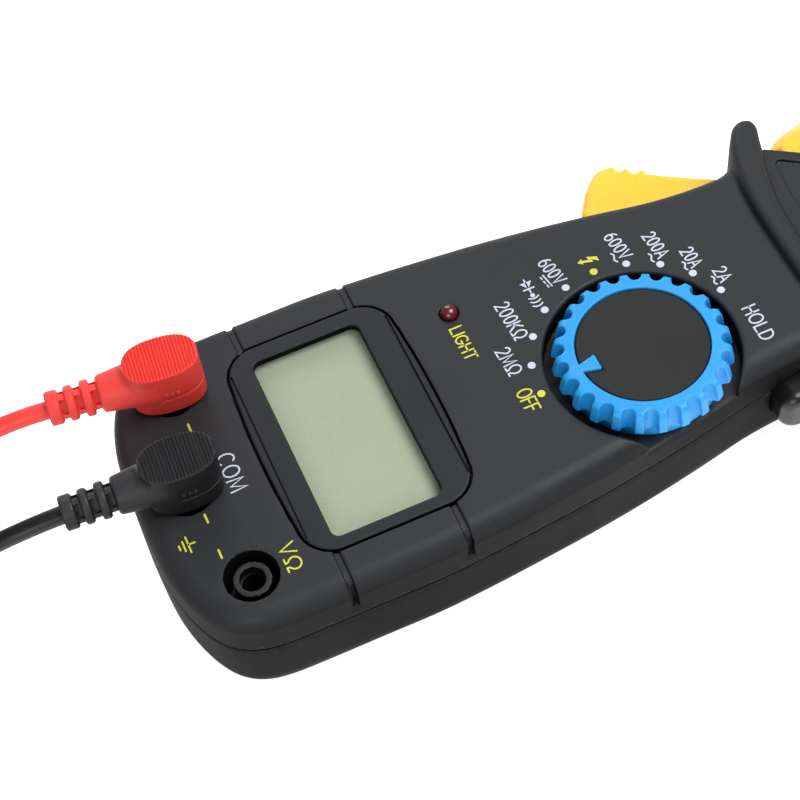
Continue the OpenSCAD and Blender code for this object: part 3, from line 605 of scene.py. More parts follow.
front = nets(front_f, (-31, -38.5, -10.6), (32, 152.5, 3.0), H, "front_shell_visual", decimate=0.45)
finish_piece(front, "body", "case_black", ["front_shell"])
back = nets(back_f, (-31, -38.5, -27.0), (32, 152.5, -9.6), H * 1.25, "back_shell_visual", decimate=0.5)
finish_piece(back, "body", "case_back", ["back_shell"])


# display frame: flush plate with a deep window
def lcdframe_f(x, y, z):
    p = plate2(x + 0.42, y - 0.55, 42.2, 28.35, 1.3, 5.1)
    f = slabz(p, z, -1.45, 0.1, 0.1, 0.3)
    # fine straight line along each long side
    f = smax(f, -np.maximum(np.maximum(np.abs(np.abs(y - 0.55) - 14.2) - 0.16, np.abs(x + 0.4) - 17.2), -0.34 - z), 0.1)
    w = rbox2(x, y, 18.45, 9.6, 1.5)
    return smax(f, -w, 0.35)


lf = nets(lcdframe_f, (-22.6, -16.6, -1.9), (22.6, 16.6, 0.8), 0.16, "lcd_frame_visual", decimate=0.4)
finish_piece(lf, "body", "frame_black", ["lcd_frame"])


# knob ring with capsule flutes and the pointer
def knob_f(x, y, z):
    X, Y = x - KN[0], y - KN[1]
    rho = np.sqrt(X * X + Y * Y)
    th = np.arctan2(Y, X)
    pitch = 2 * math.pi / 24
    tl = (th / pitch - 0.08 - np.floor(th / pitch - 0.08) - 0.5) * pitch
    # the grip narrows towards the top
    rt = rho + 0.2 * (z + 1.2)
    lx, ly = rt * np.cos(tl), rt * np.sin(tl)
    f = slabz((rt - 15.3) * 0.97, z, -1.5, 2.95, 0.8, 1.0)
    # open notch with a round inner end, down the whole side
    f = smax(f, -(np.sqrt(np.minimum(lx - 15.0, 0) ** 2 + ly * ly) - 1.22), 0.22)
    f = smin(f, slabz(rho - 13.5, z, -4.2, 0.0, 0.2, 0.3), 0.3)
    pocket = np.maximum(rho - 11.3, 1.2 - z)
    f = smax(f, -pocket, 0.2)
    # pointer: wedge that widens towards the middle, proud of the ring
    u, v = -Y, X
    wedge = np.maximum(np.maximum(8.2 - u, u - 13.9), np.abs(v) - (0.75 + (11.3 - u) * 0.26))
    f = smin(f, round_and(np.maximum(wedge, 1.0 - z), z - 3.12, 0.12), 0.1)
    f = np.maximum(f, -np.maximum(rho - 12.8, z + 1.0))
    f = np.minimum(f, np.maximum(np.maximum(rho - 4.0, -9.4 - z), z - 0.5))
    return f


kr = nets(knob_f, (KN[0] - 16.2, KN[1] - 16.2, -9.9), (KN[0] + 16.2, KN[1] + 16.2, 3.6), 0.2, "knob_ring_visual", decimate=0.5)
finish_piece(kr, "range_knob", "knob_blue", ["knob_ring"])


def disc_f(x, y, z):
    X, Y = x - KN[0], y - KN[1]
    rho = np.sqrt(X * X + Y * Y)
    u, v = -Y, X
    f = slabz(rho - 11.12, z, 1.22, 2.75, 0.05, 0.3)
    wedge = np.maximum(8.02 - u, np.abs(v) - (0.92 + (11.3 - u) * 0.26))
    return smax(f, -wedge, 0.12)


kd = nets(disc_f, (KN[0] - 11.9, KN[1] - 11.9, 0.8), (KN[0] + 11.9, KN[1] + 11.9, 3.2), 0.16, "knob_disc_visual", decimate=0.35)
finish_piece(kd, "range_knob", "knob_disc", ["knob_disc"])

# indicator lamp: clear dome on a short body
led = lathe("indicator_led_visual", [(1.9, -9.9), (1.9, -5.9), (1.5, -5.8), (1.5, 0.1)] + [(1.5 * math.cos(math.radians(a)), 0.1 + 1.35 * math.sin(math.radians(a))) for a in range(6, 90, 7)], 48, at=(LED[0], LED[1], 0))
finish_piece(led, "body", "led_red", ["indicator_led"])


# side button: domed oval
def button_f(x, y, z):
    d = rbox2(z + 13, y - 74.8, 4.4, 5.1, 2.8)
    f = round_and(d, x - 24.0 + 0.02 * (y - 74.8) ** 2, 1.8)
    return round_and(f, 17.6 - x, 0.3)


hbv = nets(button_f, (17, 69, -18), (26.2, 80.6, -8), 0.2, "hold_button_visual", decimate=0.5)
finish_piece(hbv, "hold_button", "button_black", ["hold_button"])

# ---------------------------------------------------------------- jaw lever
ARM = Poly([(-20.2, 80), (-22.6, 82.4), (-23.9, 82.0), (-25.3, 79.5), (-27.0, 76.9), (-28.9, 73.9), (-30.7, 71.4), (-31.4, 71.25), (-32.2, 70.85), (-31.7, 69.65), (-32.1, 69.05), (-32.9, 68.9), (-33.8, 68.45), (-33.35, 67.45), (-33.75, 66.85), (-34.7, 66.75), (-35.05, 66.05), (-35.15, 64.9), (-35.2, 63.8), (-34.7, 62.6), (-33.5, 61.2), (-31.5, 59.3), (-29.0, 57.6), (-27, 56.35), (-21, 57.4), (-19, 60), (-12, 72), (-4, 80), (0, 84), (1.2, 92), (-21.8, 90), (-19.8, 85)])
jm = catmull([(-23.6, 92), (-24.75, 93.6), (-26.0, 95.8), (-27.4, 101), (-28.8, 107.5), (-30.0, 115)] + jaw_out[5:], 4, closed=False)
JAW = Poly(np.concatenate([jm, [(-0.3, 96), (-10, 90.2)]]))


def jaw2(x, y):
    win = cyl(x, y, WIN, WIN[2])
    j = JAW(x, y)
    root = np.maximum(cyl(x, y, PIV, 12.4), np.maximum(92 - y, np.maximum(x + 0.3, -24 - x)))
    return smax(np.minimum(j, root), -win, 0.3)


def lever_f(x, y, z, z0, z1, j0, j1, top):
    a2 = ARM(x, y)
    j2 = jaw2(x, y)
    win = cyl(x, y, WIN, WIN[2])
    hub = np.maximum(cyl(x, y, PIV, 11.0), np.maximum(84 - y, x - 1.0))
    if top:
        arm = np.maximum(round_and(a2, z - z1, 1.3), z0 - z)
        hubz = np.maximum(np.maximum(hub, z - z1), z0 - z)
        jaw = np.maximum(chamfer_and(j2, z - j1, 2.2), j0 - z)
    else:
        arm = np.maximum(round_and(a2, z0 - z, 1.3), z - z1)
        hubz = np.maximum(np.maximum(hub, z - z1), z0 - z)
        jaw = np.maximum(chamfer_and(j2, j0 - z, 2.2), z - j1)
    f = np.minimum(np.minimum(arm, hubz), jaw)
    f = np.maximum(f, -cyl(x, y, PIV, 2.06))
    f = np.maximum(f, -np.maximum(cyl(x, y, PIV, 7), -7.4 - z))
    f = np.maximum(f, -np.maximum(cyl(x, y, PIV, 7), z + 17.5))
    rr = win + 18.5
    f = np.maximum(f, -np.maximum(np.maximum(np.abs(rr - 23.5) - 3.2, np.abs(z + 12.5) - 4.2), x + 0.35))
    for p in ((-20.5, 141), (-20.5, 97.5)):
        f = np.maximum(f, -np.maximum(cyl(x, y, p, 0.95), z + 7.9))
        f = np.maximum(f, -np.maximum(cyl(x, y, p, 1.8), z + 18))
    # fine parting groove
    f = np.maximum(f, np.where(np.abs(z + 12.5) < 0.25, np.minimum(np.minimum(a2, hub), j2) + 0.2, -9))
    return f


jf = nets(lambda x, y, z: lever_f(x, y, z, -12.5, -7.4, -12.5, -4.0, True), (-36, 54, -13.0), (3, 152, -3.4), H, "moving_jaw_front_visual", decimate=0.4)
finish_piece(jf, "jaw_lever", "jaw_yellow", ["moving_jaw_front"])
jb = nets(lambda x, y, z: lever_f(x, y, z, -17.5, -12.5, -21.0, -12.5, False), (-36, 54, -21.6), (3, 152, -12.0), H * 1.2, "moving_jaw_back_visual", decimate=0.4)
finish_piece(jb, "jaw_lever", "jaw_yellow", ["moving_jaw_back"])


# ---------------------------------------------------------------- plugs
def plug_f(x, y, z):
    """Plug in its own frame: jack axis at the origin, cable towards -y."""
    # cap: squarish oval, ribbed across its whole top
    e = (np.abs(x / 4.25) ** 2.5 + np.abs(y / 6.35) ** 2.5) ** (1 / 2.5)
    cap2 = (e - 1) * 5.0
    body = slabz(cap2, z, 0.6, 11.1, 0.5, 0.4)
    body = np.maximum(body, (z - 11.1 + 0.32 * (0.5 - 0.5 * np.cos(2 * math.pi * y / 0.58))) * 0.6)
    # parting line two thirds of the way down, three small marks above it
    body = np.maximum(body, np.where(np.abs(z - 4.6) < 0.16, cap2 + 0.12, -9))
    for k in range(3):
        body = smin(body, np.sqrt((np.abs(x) - 4.2) ** 2 + (y + 0.6 - 0.95 * k) ** 2 + (z - 5.9) ** 2 * 0.3) - 0.3, 0.1)
    # neck: tapered, blends into the body below the cap
    zc = z - 5.9
    rr = np.sqrt(x * x + zc ** 2)
    t = np.clip((-y - 3.0) / 8.0, 0, 1)
    neck = round_and(np.maximum((rr - 4.15 + 0.95 * t) * 0.98, y + 2.0), -11.2 - y, 0.6)
    f = smin(body, neck, 0.9)
    # strain relief: slotted core, two rings and an end collar
    core = np.maximum(np.maximum(rr - 2.5, y + 9), -18.6 - y)
    u, v = (np.abs(x) + np.abs(zc)) * 0.70711, (np.abs(x) - np.abs(zc)) * 0.70711
    gaps = np.minimum(np.minimum(np.abs(y + 11.85) - 0.6, np.abs(y + 14.5) - 0.6), np.abs(y + 17.2) - 0.55)
    core = np.maximum(core, -np.maximum(np.maximum(np.abs(v) - 1.25, 1.3 - u), gaps))
    f = np.minimum(f, core)
    for yc, ro, hw in ((-13.1, 3.12, 0.76), (-15.9, 3.0, 0.74), (-18.8, 2.95, 1.1)):
        ringz = round_and(rr - ro, np.abs(y - yc) - hw, 0.45)
        f = smin(f, ringz, 0.15)
    # shroud in the jack
    rz = np.sqrt(x * x + y * y)
    sh = np.maximum(np.maximum(rz - 4.4, -7.6 - z), z + 3.2)
    sh = np.minimum(sh, np.maximum(np.maximum(rz - 2.9, -3.8 - z), z - 2.2))
    f = smin(f, sh, 0.3)
    f = np.maximum(f, -np.maximum(rz - 3.3, z + 3.8))
    f = np.maximum(f, -np.maximum(rz - 1.97, z - 5.0))
    return f


def place(o, at, ang):
    """Turn a mesh made at the display centre about its own upright axis, and set it at a jack."""
    c, s = math.cos(ang), math.sin(ang)
    co = np.zeros(len(o.data.vertices) * 3, np.float32)
    o.data.vertices.foreach_get("co", co)
    co = co.reshape(-1, 3) - np.array(row((0, 0, 0)), np.float32)
    out = np.stack([c * co[:, 0] - s * co[:, 1], s * co[:, 0] + c * co[:, 1], co[:, 2]], 1) + np.array(row((at[0], at[1], 0)), np.float32)
    o.data.vertices.foreach_set("co", out.astype(np.float32).ravel())
    o.data.update()


ANG = [math.radians(-6.0), math.radians(-3.5)]
plug_r = nets(plug_f, (-5.6, -20.4, -8.2), (5.6, 7.2, 11.7), 0.125, "red_plug_visual", decimate=0.5)
plug_b = bpy.data.objects.new("black_plug_visual", plug_r.data.copy())
link(plug_b)
place(plug_r, JACKS[0], ANG[0])
place(plug_b, JACKS[1], ANG[1])
finish_piece(plug_r, "body", "plug_red", ["red_plug"])
finish_piece(plug_b, "body", "plug_black", ["black_plug"])

# ---------------------------------------------------------------- test leads
# Points are millimetres in the row frame, as in the CAD.
LEAD_R = 1.57
RED_C, BLK_C = (9.8, -124.5, 7.1), (9.8, -124.5, 0.0)
red_drop = [(-20.75, -66.0, 31.4), (-20.95, -67.8, 31.8), (-21.6, -74, 31.6), (-22.1, -80, 30.4), (-22.3, -86, 28.0), (-21.7, -92, 24.7), (-20.3, -98, 20.8), (-18.3, -104, 16.6), (-16.1, -110, 12.9), (-14.5, -116.5, 10.2)]
black_drop = [(-1.0, -70.1, 31.4), (-1.15, -71.9, 31.8), (-1.5, -78, 31.3), (-2.3, -84, 29.5), (-3.8, -90, 25.9), (-6.0, -96, 20.3), (-8.6, -102, 13.8), (-11.2, -108, 8.2), (-13, -114, 4.2), (-13.8, -119.4, 2.1)]
red_tail = [(-12.1, -131, 12), (-10.8, -138, 10.6), (-8, -145, 8), (-4.4, -151, 5.2), (-1.4, -157, 3.7), (0, -163, 3.4), (0, -168, 3.5), (0, -176, 4.4), (0, -186, 5.35), (0, -206, 5.35)]
black_tail = [(-12.6, -132, 4.8), (-13.4, -139, 3.9), (-14, -145, 3.4), (-14.2, -151, 3.5), (-14.2, -160, 4.4), (-14.2, -170, 5.35), (-14.2, -190, 5.35)]


def ease(t):
    t = min(max(t, 0.0), 1.0)
    return t * t * (3 - 2 * t)


def coil(c, a0, sgn, wob):
    """Five turns: three rings below, two more lying in their grooves."""
    radii = [23.8, 20.2, 16.6, 18.4, 22.0, 22.0]
    out = []
    per = 30
    n = 5 * per
    for i in range(n + 1):
        u = i / per
        k = min(int(u), 4)
        r = radii[k] + (radii[k + 1] - radii[k]) * ease((u - (k + 0.73)) / 0.22)
        z = 1.8 + 3.35 * ease((u - 2.25) / 0.4)
        a = a0 + sgn * 2 * math.pi * u
        w = math.sin(math.pi * min(u / 0.6, 1) / 2) * math.sin(math.pi * min((5.0 - u) / 0.6, 1) / 2)
        r += w * (0.22 * math.sin(3 * a + wob) + 0.12 * math.sin(5 * a + 2 * wob))
        out.append((c[0] + r * math.cos(a), c[1] + r * math.sin(a), c[2] + z))
    return out


def smooth_path(pts, n):
    P = [Vector(p) for p in pts]
    out = []
    for i in range(len(P) - 1):
        a, b, c, d = P[max(i - 1, 0)], P[i], P[i + 1], P[min(i + 2, len(P) - 1)]
        for j in range(n):
            t = j / n
            out.append(0.5 * (2 * b + (c - a) * t + (2 * a - 5 * b + 4 * c - d) * t * t + (3 * b - a - 3 * c + d) * t ** 3))
    out.append(P[-1])
    return out


def lead(name, drop, c, a0, sgn, tail, wob, material, nodes):
    cl = coil(c, a0, sgn, wob)
    lead_in = smooth_path(list(drop) + cl[:3], 3)
    lead_in = lead_in[:3 * (len(drop))]
    tail_pts = smooth_path([cl[-2], cl[-1]] + list(tail), 3)[3:]
    pts = [Vector(p) for p in lead_in] + [Vector(p) for p in cl] + tail_pts[1:]
    keep = [pts[0]]
    for p in pts[1:]:
        if (p - keep[-1]).length > 0.6:
            keep.append(p)
    pts = keep
    cd = bpy.data.curves.new(name, "CURVE")
    cd.dimensions = "3D"
    sp = cd.splines.new("POLY")
    sp.points.add(len(pts) - 1)
    for q, p in zip(sp.points, pts):
        q.co = (p[0] / 1000, p[1] / 1000, max(p[2], LEAD_R) / 1000, 1)
    sp.use_smooth = True
    cd.bevel_depth = LEAD_R / 1000
    cd.bevel_resolution = 6
    cd.use_fill_caps = True
    o = link(bpy.data.objects.new(name, cd))
    cd.materials.append(MAT[material])
    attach(o, "body")
    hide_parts(*nodes)
    total = sum((pts[i + 1] - pts[i]).length for i in range(len(pts) - 1)) / 1000
    return o, total


def tie(name, c, ang, nodes):
    """Flat band round one side of a coil, with its two ends twisted together."""
    ci, co_, zt = 14.3, 26.1, 14.4
    path = []
    r = 2.2
    for (cx, cz, a_) in ((co_ - r, zt - r, 0), (ci + r, zt - r, 90), (ci + r, 0.35 + r, 180), (co_ - r, 0.35 + r, 270)):
        for k in range(7):
            a = math.radians(a_ + 15 * k)
            path.append((cx + r * math.cos(a), cz + r * math.sin(a)))
    n = len(path)
    P, F = [], []
    ca, sa = math.cos(ang), math.sin(ang)
    for i, (pr, pz) in enumerate(path):
        a, b = path[i - 1], path[(i + 1) % n]
        t = Vector((b[0] - a[0], b[1] - a[1])).normalized()
        nx, nz = t[1], -t[0]
        for w, d in ((-1.5, 0.0), (-1.5, 0.28), (-0.9, 0.42), (0.9, 0.42), (1.5, 0.28), (1.5, 0.0)):
            R_, Z_ = pr + nx * d, pz + nz * d
            P.append((c[0] + ca * R_ - sa * w, c[1] + sa * R_ + ca * w - OY, max(Z_, 0.05) - OZ))
    for i in range(n):
        for k in range(6):
            a, b = i * 6 + k, i * 6 + (k + 1) % 6
            a2, b2 = ((i + 1) % n) * 6 + k, ((i + 1) % n) * 6 + (k + 1) % 6
            F.append((a, b, b2, a2))
    base = len(P)
    m_ = 22
    for s in (0, math.pi):
        st = len(P)
        for i in range(m_):
            t = i / (m_ - 1)
            Rr = ci - 0.3 - 5.2 * t
            zz = 9.0 - 4.5 * t + 0.35 * math.cos(9 * t + s)
            ww = 0.75 * math.sin(9 * t + s) + 0.8 * t * (1 if s else -1)
            for dz, dw in ((0.28, 0.0), (0.0, 0.45), (-0.28, 0.0), (0.0, -0.45)):
                P.append((c[0] + ca * Rr - sa * (ww + dw), c[1] + sa * Rr + ca * (ww + dw) - OY, max(zz + dz, 0.1) - OZ))
        for i in range(m_ - 1):
            for k in range(4):
                a, b = st + i * 4 + k, st + i * 4 + (k + 1) % 4
                F.append((a, b, b + 4, a + 4))
        F.append((st, st + 3, st + 2, st + 1))
        e = st + (m_ - 1) * 4
        F.append((e, e + 1, e + 2, e + 3))
    o = mesh_obj(name, P, F, smooth_angle=50)
    return finish_piece(o, "body", "tie_grey", nodes)


def probe_grip(name, x, y, slot_name, node):
    """Moulded test probe lying along -Y: ringed strain relief, waisted grip with finger grooves, collar and nose."""
    prof = [(1.85, 1.0), (2.45, 1.6), (2.6, 3.0)]
    for i in range(4):
        z = 4.0 + 2.3 * i
        r = 2.55 + 0.12 * i
        prof += [(r - 0.5, z), (r + 0.25, z + 0.3), (r + 0.35, z + 0.9), (r + 0.2, z + 1.5), (r - 0.5, z + 1.7)]
    prof += [(2.9, 13.4), (3.1, 15.0), (3.9, 19.0), (4.7, 22.6), (5.0, 25.0), (5.0, 28.0)]
    for i in range(7):
        z = 33 + 4.0 * i
        prof += [(5.0, z), (4.72, z + 0.5), (4.66, z + 1.0), (4.72, z + 1.5), (5.0, z + 2.0)]
    prof += [(4.9, 61.5), (4.8, 63.2), (5.0, 63.9), (5.25, 64.3), (5.3, 64.8), (5.05, 65.3), (4.2, 65.7), (3.45, 66), (3.4, 68), (3.3, 73), (3.1, 78.6), (2.8, 80.2), (2.0, 80.9), (1.02, 81.0)]
    o = lathe(name, prof, 48, at=(0, 0, 5.35), axis="x")
    co = np.zeros(len(o.data.vertices) * 3, np.float32)
    o.data.vertices.foreach_get("co", co)
    co = co.reshape(-1, 3).astype(float) * 1000 - np.array([OX, OY, OZ])
    # the narrow end dips towards the table with the cord, and nothing goes below it
    t = np.clip(co[:, 0] / 22.0, 0, 1)
    co[:, 2] -= 1.9 * (1 - t * t * (3 - 2 * t))
    co[:, 2] = np.maximum(co[:, 2], 0.05)
    out = np.stack([x + co[:, 1], y - co[:, 0], co[:, 2]], 1) / 1000
    o.data.vertices.foreach_set("co", out.astype(np.float32).ravel())
    o.data.update()
    return finish_piece(o, "body", slot_name, [node])


red_grip = probe_grip("red_probe_visual", 0.0, -162.0, "plug_red", "red_probe")
black_grip = probe_grip("black_probe_visual", -14.2, -146.0, "plug_black", "black_probe")
red_tie = tie("red_tie_visual", RED_C, math.radians(60), ["red_tie"])
black_tie = tie("black_tie_visual", BLK_C, math.radians(-60), ["black_tie"])
red_lead, red_len = lead("red_lead_visual", red_drop, RED_C, math.pi, 1, red_tail, 0.4, "lead_red", ["red_lead", "red_lead_coil"])
black_lead, black_len = lead("black_lead_visual", black_drop, BLK_C, math.pi, 1, black_tail, 1.7, "lead_black", ["black_lead", "black_lead_coil"])

# ---------------------------------------------------------------- printed marks
def arc(cx, cy, rx, ry, a0, a1, n=12):
    return [(cx + rx * math.cos(math.radians(a0 + (a1 - a0) * i / n)), cy + ry * math.sin(math.radians(a0 + (a1 - a0) * i / n))) for i in range(n + 1)]


GLYPH = {
    "0": (0.54, [("c", arc(0.27, 0.5, 0.25, 0.5, 90, 450, 22)[:-1])]),
    "2": (0.54, [("o", arc(0.27, 0.72, 0.24, 0.28, 165, -35, 11) + [(0.02, 0.0), (0.54, 0.0)])]),
    "6": (0.54, [("c", arc(0.28, 0.31, 0.25, 0.31, 90, 450, 18)[:-1]), ("o", arc(0.52, 0.31, 0.49, 0.69, 108, 178, 8))]),
    "A": (0.62, [("o", [(0, 0), (0.31, 1), (0.62, 0)]), ("o", [(0.1, 0.32), (0.52, 0.32)])]),
    "V": (0.6, [("o", [(0, 1), (0.3, 0), (0.6, 1)])]),
    "K": (0.56, [("o", [(0, 0), (0, 1)]), ("o", [(0.52, 1), (0.02, 0.4)]), ("o", [(0.18, 0.58), (0.56, 0)])]),
    "M": (0.72, [("o", [(0, 0), (0.05, 1), (0.36, 0.12), (0.67, 1), (0.72, 0)])]),
    "W": (0.74, [("o", [(0, 0), (0.24, 0), (0.24, 0.12)] + arc(0.37, 0.58, 0.34, 0.42, 238, -58, 18) + [(0.5, 0.12), (0.5, 0), (0.74, 0)])]),
    "O": (0.7, [("c", arc(0.35, 0.5, 0.34, 0.5, 90, 450, 24)[:-1])]),
    "F": (0.48, [("o", [(0, 0), (0, 1), (0.48, 1)]), ("o", [(0, 0.52), (0.4, 0.52)])]),
    "H": (0.54, [("o", [(0, 0), (0, 1)]), ("o", [(0.54, 0), (0.54, 1)]), ("o", [(0, 0.52), (0.54, 0.52)])]),
    "L": (0.44, [("o", [(0, 1), (0, 0), (0.44, 0)])]),
    "D": (0.58, [("c", [(0, 0), (0, 1), (0.2, 1)] + arc(0.2, 0.5, 0.37, 0.5, 80, -80, 12) + [(0.2, 0)])]),
    "I": (0.0, [("o", [(0, 0), (0, 1)])]),
    "G": (0.66, [("o", arc(0.34, 0.5, 0.33, 0.5, 48, 325, 16) + [(0.66, 0.42), (0.4, 0.42)])]),
    "T": (0.54, [("o", [(0, 1), (0.54, 1)]), ("o", [(0.27, 1), (0.27, 0)])]),
    "C": (0.62, [("o", arc(0.34, 0.5, 0.33, 0.5, 48, 312, 16))]),
    " ": (0.3, []),
}
INK = {"print_white": ([], []), "print_yellow": ([], [])}
Z0, Z1 = -0.05, 0.03


def layer(P):
    """Strokes that cross get slightly different heights."""
    return Z1 + 0.005 * (len(P) % 7)


def ribbon(P, F, line, w, closed=False):
    """Flat printed stroke with round ends."""
    z = layer(P)
    L = [Vector(p) for p in line]
    n = len(L)
    left, right = [], []
    for i in range(n):
        if closed:
            a, b = L[i - 1], L[(i + 1) % n]
            t0, t1 = (L[i] - a).normalized(), (b - L[i]).normalized()
        else:
            t0 = (L[i] - L[i - 1]).normalized() if i else (L[1] - L[0]).normalized()
            t1 = (L[i + 1] - L[i]).normalized() if i < n - 1 else t0
        t = t0 + t1
        t = t.normalized() if t.length > 1e-4 else t0
        nn = Vector((-t[1], t[0]))
        k = 1 / max(nn.dot(Vector((-t0[1], t0[0]))), 0.55)
        left.append(L[i] + nn * w / 2 * k)
        right.append(L[i] - nn * w / 2 * k)
    if not closed:
        def cap(p, d, first, last):
            a0 = math.atan2(first[1] - p[1], first[0] - p[0])
            s = -1
            return [Vector((p[0] + w / 2 * math.cos(a0 + s * math.pi * k / 6), p[1] + w / 2 * math.sin(a0 + s * math.pi * k / 6))) for k in range(1, 6)]
        end = cap(L[-1], None, left[-1], right[-1])
        start = cap(L[0], None, right[0], left[0])
        loop = left + end + right[::-1] + start
        b = len(P)
        m_ = len(loop)
        for zz in (z, Z0):
            for q in loop:
                P.append((q[0], q[1], zz))
        # strip along the stroke, then the two round ends
        li = lambda i: b + i
        ri = lambda i: b + n + 5 + (n - 1 - i)
        for i in range(n - 1):
            F.append((li(i), ri(i), ri(i + 1), li(i + 1)))
        ei = [b + n + k for k in range(5)]
        F.append(tuple([li(n - 1), ri(n - 1)] + ei[::-1]))
        si = [b + 2 * n + 5 + k for k in range(5)]
        F.append(tuple([ri(0), li(0)] + si[::-1]))
        for i in range(m_):
            j = (i + 1) % m_
            F.append((b + i, b + j, b + m_ + j, b + m_ + i))
    else:
        b = len(P)
        for zz in (z, Z0):
            for q in left:
                P.append((q[0], q[1], zz))
            for q in right:
                P.append((q[0], q[1], zz))
        for i in range(n):
            j = (i + 1) % n
            F.append((b + i, b + n + i, b + n + j, b + j))
            F.append((b + i, b + j, b + 2 * n + j, b + 2 * n + i))
            F.append((b + n + i, b + 3 * n + i, b + 3 * n + j, b + n + j))


def blob(P, F, loop):
    z = layer(P)
    b = len(P)
    n = len(loop)
    for zz in (z, Z0):
        for q in loop:
            P.append((q[0], q[1], zz))
    F.append(tuple(b + i for i in range(n)))
    for i in range(n):
        j = (i + 1) % n
        F.append((b + j, b + i, b + n + i, b + n + j))


def turn(q, c, a):
    """Point q turned by a degrees about c."""
    ca, sa = math.cos(math.radians(a)), math.sin(math.radians(a))
    dx, dy = q[0] - c[0], q[1] - c[1]
    return (c[0] + ca * dx - sa * dy, c[1] + sa * dx + ca * dy)


def text(s, x0, x1, y, h, ink, tilt=0.0, w=0.29, gap=0.2):
    P, F = INK[ink]
    total = sum(GLYPH[c][0] for c in s) + gap * (len(s) - 1)
    k = (x1 - x0 - w) / total
    x = x0 + w / 2
    hh = h - w
    for c in s:
        gw, strokes = GLYPH[c]
        for kind, line in strokes:
            ribbon(P, F, [turn((x + k * q[0], y - hh / 2 + hh * q[1]), (x0, y), tilt) for q in line], w, closed=kind == "c")
        x += k * (gw + gap)


def dot(x, y, r, ink):
    P, F = INK[ink]
    blob(P, F, [(x + r * math.cos(2 * math.pi * i / 24), y + r * math.sin(2 * math.pi * i / 24)) for i in range(24)])


def wave(x0, x1, y, ink, tilt=0.0, w=0.3):
    P, F = INK[ink]
    ribbon(P, F, [turn((x0 + (x1 - x0) * i / 12, y + 0.24 * math.sin(2 * math.pi * i / 12)), (x0, y), tilt) for i in range(13)], w)


WHT, YEL = "print_white", "print_yellow"
LAB = [
    ("600V", -16.1, -10.1, 56.3, 2.6, WHT, 6), ("200A", -13.3, -7.5, 62.3, 2.6, WHT, 4), ("20A", -7.5, -3.2, 66.6, 2.6, WHT, 3), ("2A", -1.4, 1.7, 69.7, 2.6, WHT, 2),
    ("600V", -16.2, -10.4, 43.7, 2.6, WHT, 9), ("200KW", -11.2, -3.0, 33.4, 2.75, WHT, 2), ("2MW", -2.7, 3.1, 29.6, 2.75, WHT, 2), ("OFF", 6.2, 10.9, 29.3, 2.8, YEL, 0),
    ("HOLD", 7.9, 15.3, 70.4, 2.7, WHT, 0), ("LIGHT", -10.1, -2.9, 24.4, 2.4, YEL, 0), ("COM", -4.0, 3.6, -20.1, 3.1, WHT, 0), ("VW", 15.9, 21.2, -17.1, 2.8, YEL, 0)]
for t_, a_, b_, y_, h_, ink_, d_ in LAB:
    text(t_, a_, b_, y_, h_, ink_, d_)
wave(-12.1, -10.1, 54.75, WHT, 8)
wave(-9.2, -7.3, 60.5, WHT, 4)
wave(-5.1, -3.3, 64.85, WHT, 3)
wave(-0.2, 1.6, 67.85, WHT, 3)
Pw, Fw = INK[WHT]
Py, Fy = INK[YEL]
dc = (-13.2, 42.35)
ribbon(Pw, Fw, [turn(q, dc, 10) for q in ((-13.2, 42.35), (-10.5, 42.35))], 0.27)
for i in range(3):
    ribbon(Pw, Fw, [turn(q, dc, 10) for q in ((-13.1 + 1.0 * i, 41.75), (-12.6 + 1.0 * i, 41.75))], 0.26)
# diode and sound marks
ribbon(Pw, Fw, [(-13.8, 39.0), (-10.9, 39.0)], 0.28)
blob(Pw, Fw, [(-13.2, 40.1), (-13.2, 37.9), (-11.8, 39.0)])
ribbon(Pw, Fw, [(-11.7, 39.95), (-11.7, 38.05)], 0.3)
dot(-10.2, 39.0, 0.42, WHT)
for i in range(3):
    ribbon(Pw, Fw, arc(-10.9 + 0.85 * i, 39.0, 1.4, 1.4, 40, -40, 8), 0.26)
# live-line mark
blob(Py, Fy, [(x_ - 12.5, y_ + 50.6) for x_, y_ in [(-0.2, 1.75), (-0.9, 0.05), (-0.15, 0.2), (-0.45, -0.95), (-0.85, -0.85), (-0.35, -1.85), (0.35, -1.05), (0.0, -1.0), (0.55, 0.75), (-0.1, 0.6), (0.75, 1.75)]])
for i in range(10):
    a = math.radians(-90.5 - 18 * i)
    dot(KN[0] + 18.52 * math.cos(a), KN[1] + 18.52 * math.sin(a), 0.68, YEL if i in (0, 5) else WHT)
# short bars and an earth mark between the jacks
for a_, b_ in (((5.35, -26.9), (6.95, -26.9)), ((12.4, -27.15), (14.0, -27.15)), ((-12.0, -23.4), (-10.4, -23.4))):
    ribbon(Py, Fy, [a_, b_], 0.36)
for i in range(3):
    ribbon(Py, Fy, [(7.9 + 0.55 * i, -31.2 - 0.75 * i), (10.9 - 0.55 * i, -31.2 - 0.75 * i)], 0.3)
ribbon(Py, Fy, [(9.4, -31.2), (9.4, -30.1)], 0.3)


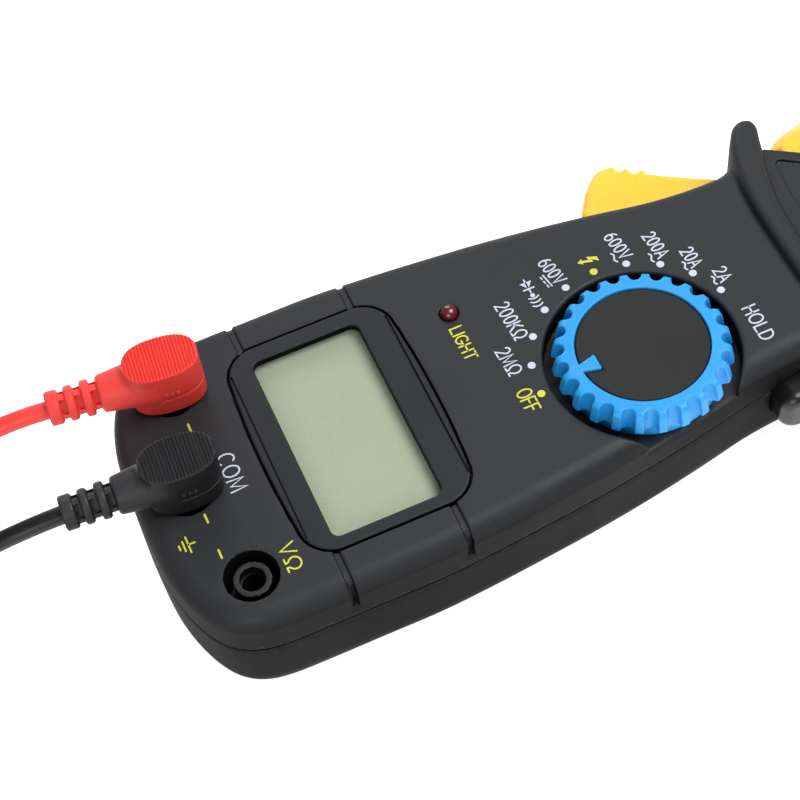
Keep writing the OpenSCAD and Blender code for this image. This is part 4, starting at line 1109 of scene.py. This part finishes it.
def ngon_obj(name, P, F, material):
    me = bpy.data.meshes.new(name)
    me.from_pydata([tuple((p[0] + OX, p[1] + OY, p[2] + OZ)[k] / 1000 for k in range(3)) for p in P], [], F)
    me.validate()
    bm = bmesh.new()
    bm.from_mesh(me)
    bmesh.ops.recalc_face_normals(bm, faces=bm.faces[:])
    bm.to_mesh(me)
    bm.free()
    o = link(bpy.data.objects.new(name, me))
    me.materials.append(MAT[material])
    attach(o, "body")
    return o


for ink_ in (WHT, YEL):
    ngon_obj(ink_ + "_marks", INK[ink_][0], INK[ink_][1], ink_)

# ---------------------------------------------------------------- CAD nodes that stay
for sp in frame["record"]["subparts"]:
    o = bpy.data.objects.get(sp["node"])
    if o is not None and o.type == "MESH":
        o.data.materials.clear()
        o.data.materials.append(MAT[sp["material_slot"]])

# ---------------------------------------------------------------- floor and light
me = bpy.data.meshes.new("floor")
me.from_pydata([(-3, -3, 0), (3, -3, 0), (3, 3, 0), (-3, 3, 0)], [], [(0, 1, 2, 3)])
floor = link(bpy.data.objects.new("floor", me))
fm = bpy.data.materials.new("paper_white")
fm.use_nodes = True
nt = fm.node_tree
bs = nt.nodes["Principled BSDF"]
bs.inputs["Base Color"].default_value = (0.8, 0.8, 0.8, 1)
bs.inputs["Roughness"].default_value = 0.9
bs.inputs["Specular IOR Level"].default_value = 0.1
bs.inputs["Emission Color"].default_value = (1, 1, 1, 1)
bs.inputs["Emission Strength"].default_value = 0.8
me.materials.append(fm)

w = bpy.data.worlds.new("world")
w.use_nodes = True
bg = w.node_tree.nodes["Background"]
bg.inputs["Color"].default_value = (0.97, 0.985, 1.0, 1)
bg.inputs["Strength"].default_value = 0.30
bpy.context.scene.world = w


def area(name, loc, target, size, energy, color=(1, 1, 1), size_y=None):
    ld = bpy.data.lights.new(name, "AREA")
    ld.shape = "RECTANGLE"
    ld.size = size
    ld.size_y = size_y or size
    ld.energy = energy
    ld.color = color
    o = link(bpy.data.objects.new(name, ld))
    o.location = loc
    d = Vector(target) - Vector(loc)
    o.rotation_euler = d.to_track_quat("-Z", "Y").to_euler()
    return o


area("key", (0.1, 0.35, 0.75), (0, 0, 0.02), 0.5, 6.0)
area("fill", (0.55, -0.35, 0.35), (0, 0, 0.02), 0.4, 1.7)
area("left", (-0.6, 0.1, 0.4), (0, 0, 0.02), 0.35, 1.5)

sc = bpy.context.scene
sc.view_settings.view_transform = "Standard"
sc.view_settings.look = "None"
